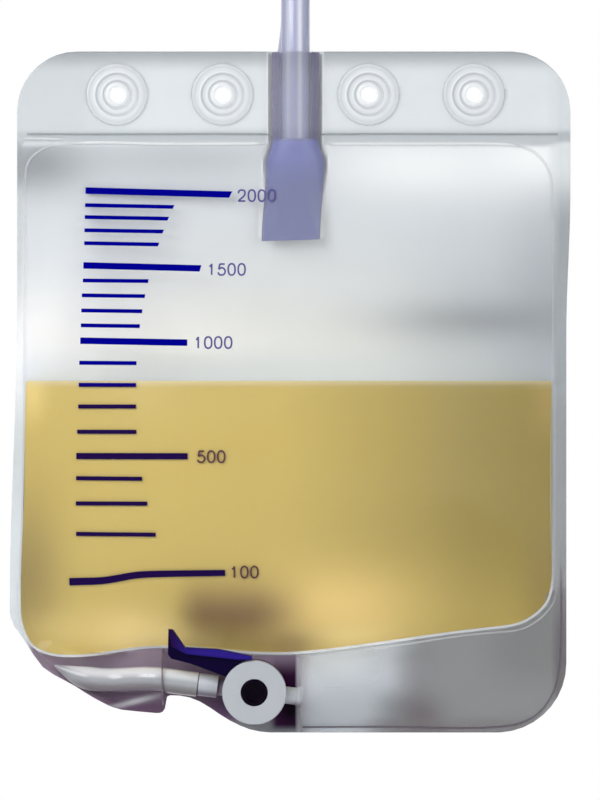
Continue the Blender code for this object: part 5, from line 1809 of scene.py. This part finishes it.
@dataclass
class Tap:
    """The lever tap: a white barrel with a disc, spigot and stub, and the blue lever that turns in it."""

    shape: BagShape = SHAPE
    disc_radius: float = 0.0133
    disc_front: float = 0.02
    disc_depth: float = 0.008
    disc_hole: float = 0.0056
    disc_flat: float = 0.0131
    disc_skin: float = 0.0015
    barrel_radius: float = 0.0103
    barrel_back: float = 0.003
    plug_radius: float = 0.0077
    plug_clear: float = 0.0003
    plug_hollow: float = 0.004
    neck_radius: float = 0.0036
    collar_radius: float = 0.0047
    collar_start: float = 0.0153
    barb_root: float = 0.00284
    barb_radius: float = 0.0033
    barb_tip: float = 0.00271
    stub_end: float = 0.0205
    stub_bore: float = 0.0021
    stub_neck: float = 0.0036
    stub_step: float = 0.0172
    hub_radius: float = 0.0131
    hub_back: float = 0.0003
    hub_front: float = 0.0026
    arm_back: float = 0.013
    arm_front: float = 0.0215
    arm_corners: Line = (
        (-0.015, 0.018), (-0.0286, 0.0187), (-0.0336, 0.026), (-0.0356, 0.0263),
        (-0.0358, 0.0158), (-0.0344, 0.014), (-0.0262, 0.0119),
    )
    rim_width: float = 0.0027

    def flattened(self, low: float) -> Callable[[Array], Array]:
        """A change to points that lifts what lies under a height to that height."""

        def lifted(points: Array) -> Array:
            """Lifts the points."""
            points[..., 2] = np.maximum(points[..., 2], low)
            return points

        return lifted

    def barrel(self) -> Mesh:
        """Turns the front disc, with its flat, and the barrel behind it."""
        x, z = self.shape.tap_axis
        bore = self.plug_radius + self.plug_clear
        back = self.disc_front - self.disc_depth
        corners = [
            (self.disc_hole, self.disc_front, 0.0004),
            (self.disc_radius, self.disc_front, 0.0006),
            (self.disc_radius, back, 0.0005),
            (self.barrel_radius, back, 0.0004),
            (self.barrel_radius, self.barrel_back, 0.0003),
            (bore, self.barrel_back, 0.0002),
            (bore, self.disc_front - self.disc_skin, 0.0002),
            (self.disc_hole, self.disc_front - self.disc_skin, 0.0002),
        ]
        flat = self.flattened(z - self.disc_flat)
        return turned("barrel", eased(corners), (x, 0.0, z), (0.0, -1.0, 0.0), 128, flat)

    def spigot(self, inside: float) -> Mesh:
        """Turns the spigot from a place inside the barrel's wall: neck, collar and three barbs."""
        s = self.shape
        step = s.barb_length / 3
        tip = s.collar_end + s.barb_length
        corners = [
            (0.0, inside, 0.0),
            (self.neck_radius, inside, 0.0),
            (self.neck_radius, self.collar_start, 0.0003),
            (self.collar_radius, self.collar_start, 0.0006),
            (self.collar_radius, s.collar_end, 0.0005),
        ]
        for start in (s.collar_end + index * step for index in range(3)):
            corners += [(self.barb_root, start, 0.0002), (self.barb_radius, start + step * 0.15, 0.0002)]
        corners += [(self.barb_tip, tip, 0.0003), (0.0, tip, 0.0)]
        return turned("spigot", eased(corners), s.flow_point(0.0), s.flow_axis(), 56)

    def stub(self, inside: float) -> Mesh:
        """Turns the bored outlet stub, which steps out beyond its neck."""
        s = self.shape
        corners = [
            (self.stub_bore, inside, 0.0),
            (self.stub_neck, inside, 0.0),
            (self.stub_neck, self.stub_step, 0.0003),
            (s.stub_radius, self.stub_step + 0.0008, 0.0004),
            (s.stub_radius, self.stub_end, 0.0005),
            (self.stub_bore, self.stub_end, 0.0003),
        ]
        return turned("stub", eased(corners), s.flow_point(0.0), -s.flow_axis(), 56)

    def tint(self, at: Array) -> Array:
        """Colour of the housing: grey, paler on the stub, with painted light on the spigot's top and painted
        shade below, on the neck and in the hole.
        """
        s = self.shape
        x, z = s.tap_axis
        past = at - s.flow_point(0.0)
        along = past @ s.flow_axis()
        above = past @ np.array([math.sin(s.flow_tilt), 0.0, math.cos(s.flow_tilt)])
        away = np.hypot(at[:, 0] - x, at[:, 2] - z)
        outside = away > self.disc_radius + 0.0005
        # Painted shadow on the neck between the collar and the disc.
        neck = rise(away, self.disc_radius + 0.0002, 0.0004)
        neck = neck * fall(along, self.collar_start + 0.0002, 0.0002) * (along > 0.0)
        shade_in_hole = (away < self.disc_hole + 0.0001) * (-at[:, 1] < self.disc_front - 0.0003)
        layers = (
            ((212, 217, 225), outside * (along > 0.0) * rise(above, -0.0008, 0.003)),
            ((206, 210, 216), outside * (along < 0.0)),
            ((74, 44, 80), neck * 0.95),
            ((92, 78, 100), fall(above, -0.0008, 0.003) * outside * 0.85),
            ((20, 6, 30), shade_in_hole * 0.9),
        )
        return layered(filled((len(at),), 181, 185, 192), layers)

    def housing(self, material: Material) -> None:
        """Joins the turned disc and barrel, the spigot and the stub."""
        inside = (self.plug_radius + self.plug_clear + self.barrel_radius) / 2
        mesh = joined([self.barrel(), self.spigot(inside), self.stub(inside)], "tap_housing")
        add_field(mesh, "tint", self.tint(places(mesh)))
        item = shown("tap_housing", mesh, material, Body.BAG)
        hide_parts("tap_body")

    def plug(self) -> Mesh:
        """Turns the plug, hollow at its front, and the hub behind the barrel."""
        x, z = self.shape.tap_axis
        front = self.disc_front - 0.0005
        shoulder = self.disc_front - 0.0018
        corners = [
            (0.0, front - 0.0035, 0.0),
            (self.plug_hollow, front - 0.0035, 0.0004),
            (self.plug_hollow, front, 0.0003),
            (self.disc_hole - 0.0003, front, 0.0004),
            (self.disc_hole - 0.0003, shoulder, 0.0002),
            (self.plug_radius, shoulder, 0.0003),
            (self.plug_radius, self.hub_front, 0.0003),
            (self.hub_radius, self.hub_front, 0.0005),
            (self.hub_radius, self.hub_back, 0.0005),
            (0.0, self.hub_back, 0.0),
        ]
        flat = self.flattened(z - self.disc_flat - 0.0001)
        return turned("plug", eased(corners), (x, 0.0, z), (0.0, -1.0, 0.0), 112, flat)

    def around(self, radius: float, turns: Iterable[float]) -> list[tuple[float, float]]:
        """Points of an arc about the tap's axis."""
        x, z = self.shape.tap_axis
        return [(x + radius * math.cos(a), z + radius * math.sin(a)) for a in turns]

    def handle(self, material: Material) -> None:
        """Joins the plug with its hub, the root behind the disc, the arm and the rim along the arm's top."""
        x, z = self.shape.tap_axis
        parts = [self.plug()]
        sweep = np.radians(np.linspace(114.0, 151.0, 9))
        over = np.radians(np.linspace(94.0, 114.0, 6))
        web = self.around(0.015, sweep) + self.around(0.0107, sweep)[::-1]
        parts.append(slab("web", web, 0.0014, self.disc_front - self.disc_depth - 0.0003, 0.0003))
        root = self.around(0.0153, sweep) + self.around(0.0134, sweep)[::-1]
        parts.append(slab("root", root, 0.0092, self.arm_back + 0.001, 0.0002))
        inner = self.around(0.0137, [*over[:-1], *sweep])
        start = self.around(0.0152, over[:1])[0]
        corners = [(x + a, z + b) for a, b in self.arm_corners]
        arm = [start, *corners, *inner[::-1]]
        parts.append(slab("arm", arm, self.arm_back, self.arm_front - 0.0028, 0.0004))
        top_end, tip_outer = corners[1], corners[3]
        rim = [start, *corners[:4], (tip_outer[0] + 0.0012, z + 0.019)]
        rim += [(top_end[0] + 0.0006, top_end[1] - self.rim_width), (x - 0.007, z + 0.0137), inner[0]]
        parts.append(slab("rim", rim, self.arm_back + 0.0005, self.arm_front, 0.0005))
        mesh = joined(parts, "tap_handle")
        at = places(mesh)
        # Painted light on the one blue plastic: a highlight on the rim's front face, darker toward the tip,
        # shade on the rest, near black in the bore.
        raised = rise(-at[:, 1], self.arm_front - 0.0016, 0.0008)
        shade_in_bore = np.hypot(at[:, 0] - x, at[:, 2] - z) < self.disc_hole
        layers = (
            ((34, 10, 66), raised),
            ((44, 30, 132), raised * rise(at[:, 0], x - 0.031, 0.004)),
            ((10, 0, 20), shade_in_bore * (-at[:, 1] > self.disc_front - 0.005)),
        )
        add_field(mesh, "tint", layered(filled((len(at),), 10, 0, 44), layers))
        item = shown("tap_handle", mesh, material, Body.LEVER)
        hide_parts("tap_lever")


# Stage


@dataclass
class Studio:
    """Pale floor, soft lights, a light world and the camera at the photograph's angle."""

    floor_height: float = -0.42
    distance: float = 2.4
    lens: float = 258.7
    sky: float = 0.365
    aim: tuple[float, float] = (0.0019, -0.1275)

    def floor(self) -> None:
        """A wide floor that curves up into a backdrop: level, then a quarter circle, then upright."""
        turn = np.linspace(0.0, math.pi / 2, 16)
        run = np.concatenate([[-6.0], 5.0 + np.sin(turn), [6.0]])
        up = np.concatenate([[0.0], 1.0 - np.cos(turn), [6.0]]) + self.floor_height
        x = np.linspace(-8.0, 8.0, 5)
        rows = [np.broadcast_to(row, (len(x), len(run))) for row in (x[:, None], run, up)]
        points = np.stack(rows, axis=-1)
        mesh = into_mesh("floor", points, grid_faces(len(x), len(run)))
        item = shown("floor", mesh, StageFinish().make(), None)
        item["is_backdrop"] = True

    def lamp(self, name: str, place: Sequence[float], size: tuple[float, float], power: float) -> None:
        """One rectangular area light that faces the middle of the bag."""
        data = bpy.data.lights.new(name, "AREA")
        data.shape = "RECTANGLE"
        data.size, data.size_y = size
        data.energy = power
        item = bpy.data.objects.new(name, data)
        bpy.context.scene.collection.objects.link(item)
        item.location = place
        item.rotation_euler = (Vector((0.0, 0.0, -0.12)) - Vector(place)).to_track_quat("-Z", "Y").to_euler()

    def world(self) -> None:
        """White to the camera, and a soft grey light to the rest."""
        made = bpy.data.worlds.new("studio_world")
        bpy.context.scene.world = made
        made.use_nodes = True
        nodes, links = made.node_tree.nodes, made.node_tree.links
        nodes.clear()
        kinds = ("LightPath", "Background", "Background", "MixShader", "OutputWorld")
        path, soft, white, mix, out = (nodes.new("ShaderNode" + kind) for kind in kinds)
        soft.inputs["Strength"].default_value = self.sky
        white.inputs["Color"].default_value = (1.0, 1.0, 1.0, 1.0)
        links.new(path.outputs["Is Camera Ray"], mix.inputs[0])
        links.new(soft.outputs[0], mix.inputs[1])
        links.new(white.outputs[0], mix.inputs[2])
        links.new(mix.outputs[0], out.inputs[0])

    def camera(self) -> None:
        """A level camera square to the film plane, whose lens takes in the photograph's frame there."""
        data = bpy.data.cameras.new("camera")
        data.lens = self.lens
        data.sensor_width = 36.0
        item = bpy.data.objects.new("camera", data)
        bpy.context.scene.collection.objects.link(item)
        item.location = (self.aim[0], -self.distance, self.aim[1])
        item.rotation_euler = (math.pi / 2, 0.0, 0.0)
        bpy.context.scene.camera = item

    def build(self) -> None:
        """Sets the view transform and makes the whole stage."""
        bpy.context.scene.view_settings.view_transform = "Standard"
        self.floor()
        self.world()
        self.lamp("key_light", (-0.75, -1.1, 0.55), (0.9, 0.9), 14.8)
        self.lamp("fill_light", (0.95, -1.2, 0.05), (1.0, 1.0), 6.1)
        self.lamp("back_light", (0.3, 1.3, 0.6), (1.2, 0.8), 12.0)
        self.camera()


def corners(box: Sequence[Vector]) -> list[list[float]]:
    """A box as plain lists of numbers."""
    return [[float(v) for v in corner] for corner in box]


def main() -> None:
    """Builds the pieces in order, the camera and the hose first."""
    logging.basicConfig(level=logging.INFO, format="%(message)s")
    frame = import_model()
    LOG.info("%d nodes in the frame", len(frame["nodes"]))
    bpy.context.view_layer.update()
    cad_box = corners(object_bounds())
    Studio().build()

    front_film = FilmFinish("clear_film", 0.36, True, coat=0.22, gloss=0.5, ripple=0.08)
    back_film = FilmFinish("back_sheet", 0.45, False, coat=0.0, gloss=0.06, ripple=0.12, two_faced=True)
    embossed = FilmFinish("embossed_film", 0.34, True, coat=0.1, gloss=0.3, ripple=0.08)
    valve_film = FilmFinish("valve_film", 0.32, True, coat=0.2, gloss=0.3)
    welded = FilmFinish("weld_bead", 0.24, True, coat=0.3, ripple=0.1)
    white = (255, 255, 255)
    clear_tube = PlasticFinish("clear_tube", white, (238, 240, 246), 0.14, coat=0.6, alpha=0.72, painted=True)
    soft_tube = PlasticFinish("soft_tube", white, (244, 246, 248), 0.18, coat=0.5, painted=True)
    tap_white = PlasticFinish("tap_white", white, (246, 247, 248), 0.36, gloss=0.3, painted=True)
    lever_blue = PlasticFinish("lever_blue", white, (226, 226, 236), 0.34, gloss=0.06, painted=True)
    connector_blue = PlasticFinish("connector_blue", (120, 146, 190), (104, 130, 178), 0.25, coat=0.4)
    cap_clear = PlasticFinish("cap_clear", (222, 228, 234), (208, 216, 224), 0.2, coat=0.5, alpha=0.78)
    tie_white = PlasticFinish("tie_white", (226, 226, 222), (206, 206, 202), 0.55, grain=400.0)

    inlet = InletHose()
    hose, tie, path = inlet.make(clear_tube.make(), tie_white.make())
    ends = HoseEnd(inlet.far_end())
    fittings = [tie, ends.connector(connector_blue.make()), ends.cap(cap_clear.make())]
    LOG.info("inlet hose %.3f m", np.linalg.norm(np.diff(path, axis=0), axis=1).sum())

    films = FilmPair()
    films.make(Side.FRONT, "front_sheet", "front_film", "clear_film", front_film.make())
    films.make(Side.BACK, "rear_sheet", "back_film", "back_sheet", back_film.make())
    HangerTargets().make(embossed.make())
    WeldLines().make(welded.make())
    PrintedScale().make(InkFinish().make())
    Liquid().make(LiquidFinish().make())
    ValveFlaps().make(valve_film.make())
    OutletHose().make(soft_tube.make())
    tap = Tap()
    tap.housing(tap_white.make())
    tap.handle(lever_blue.make())

    bpy.context.view_layer.update()
    json.dumps({"cad": cad_box, "visual": corners(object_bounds())})


if __name__ == "__main__":
    main()
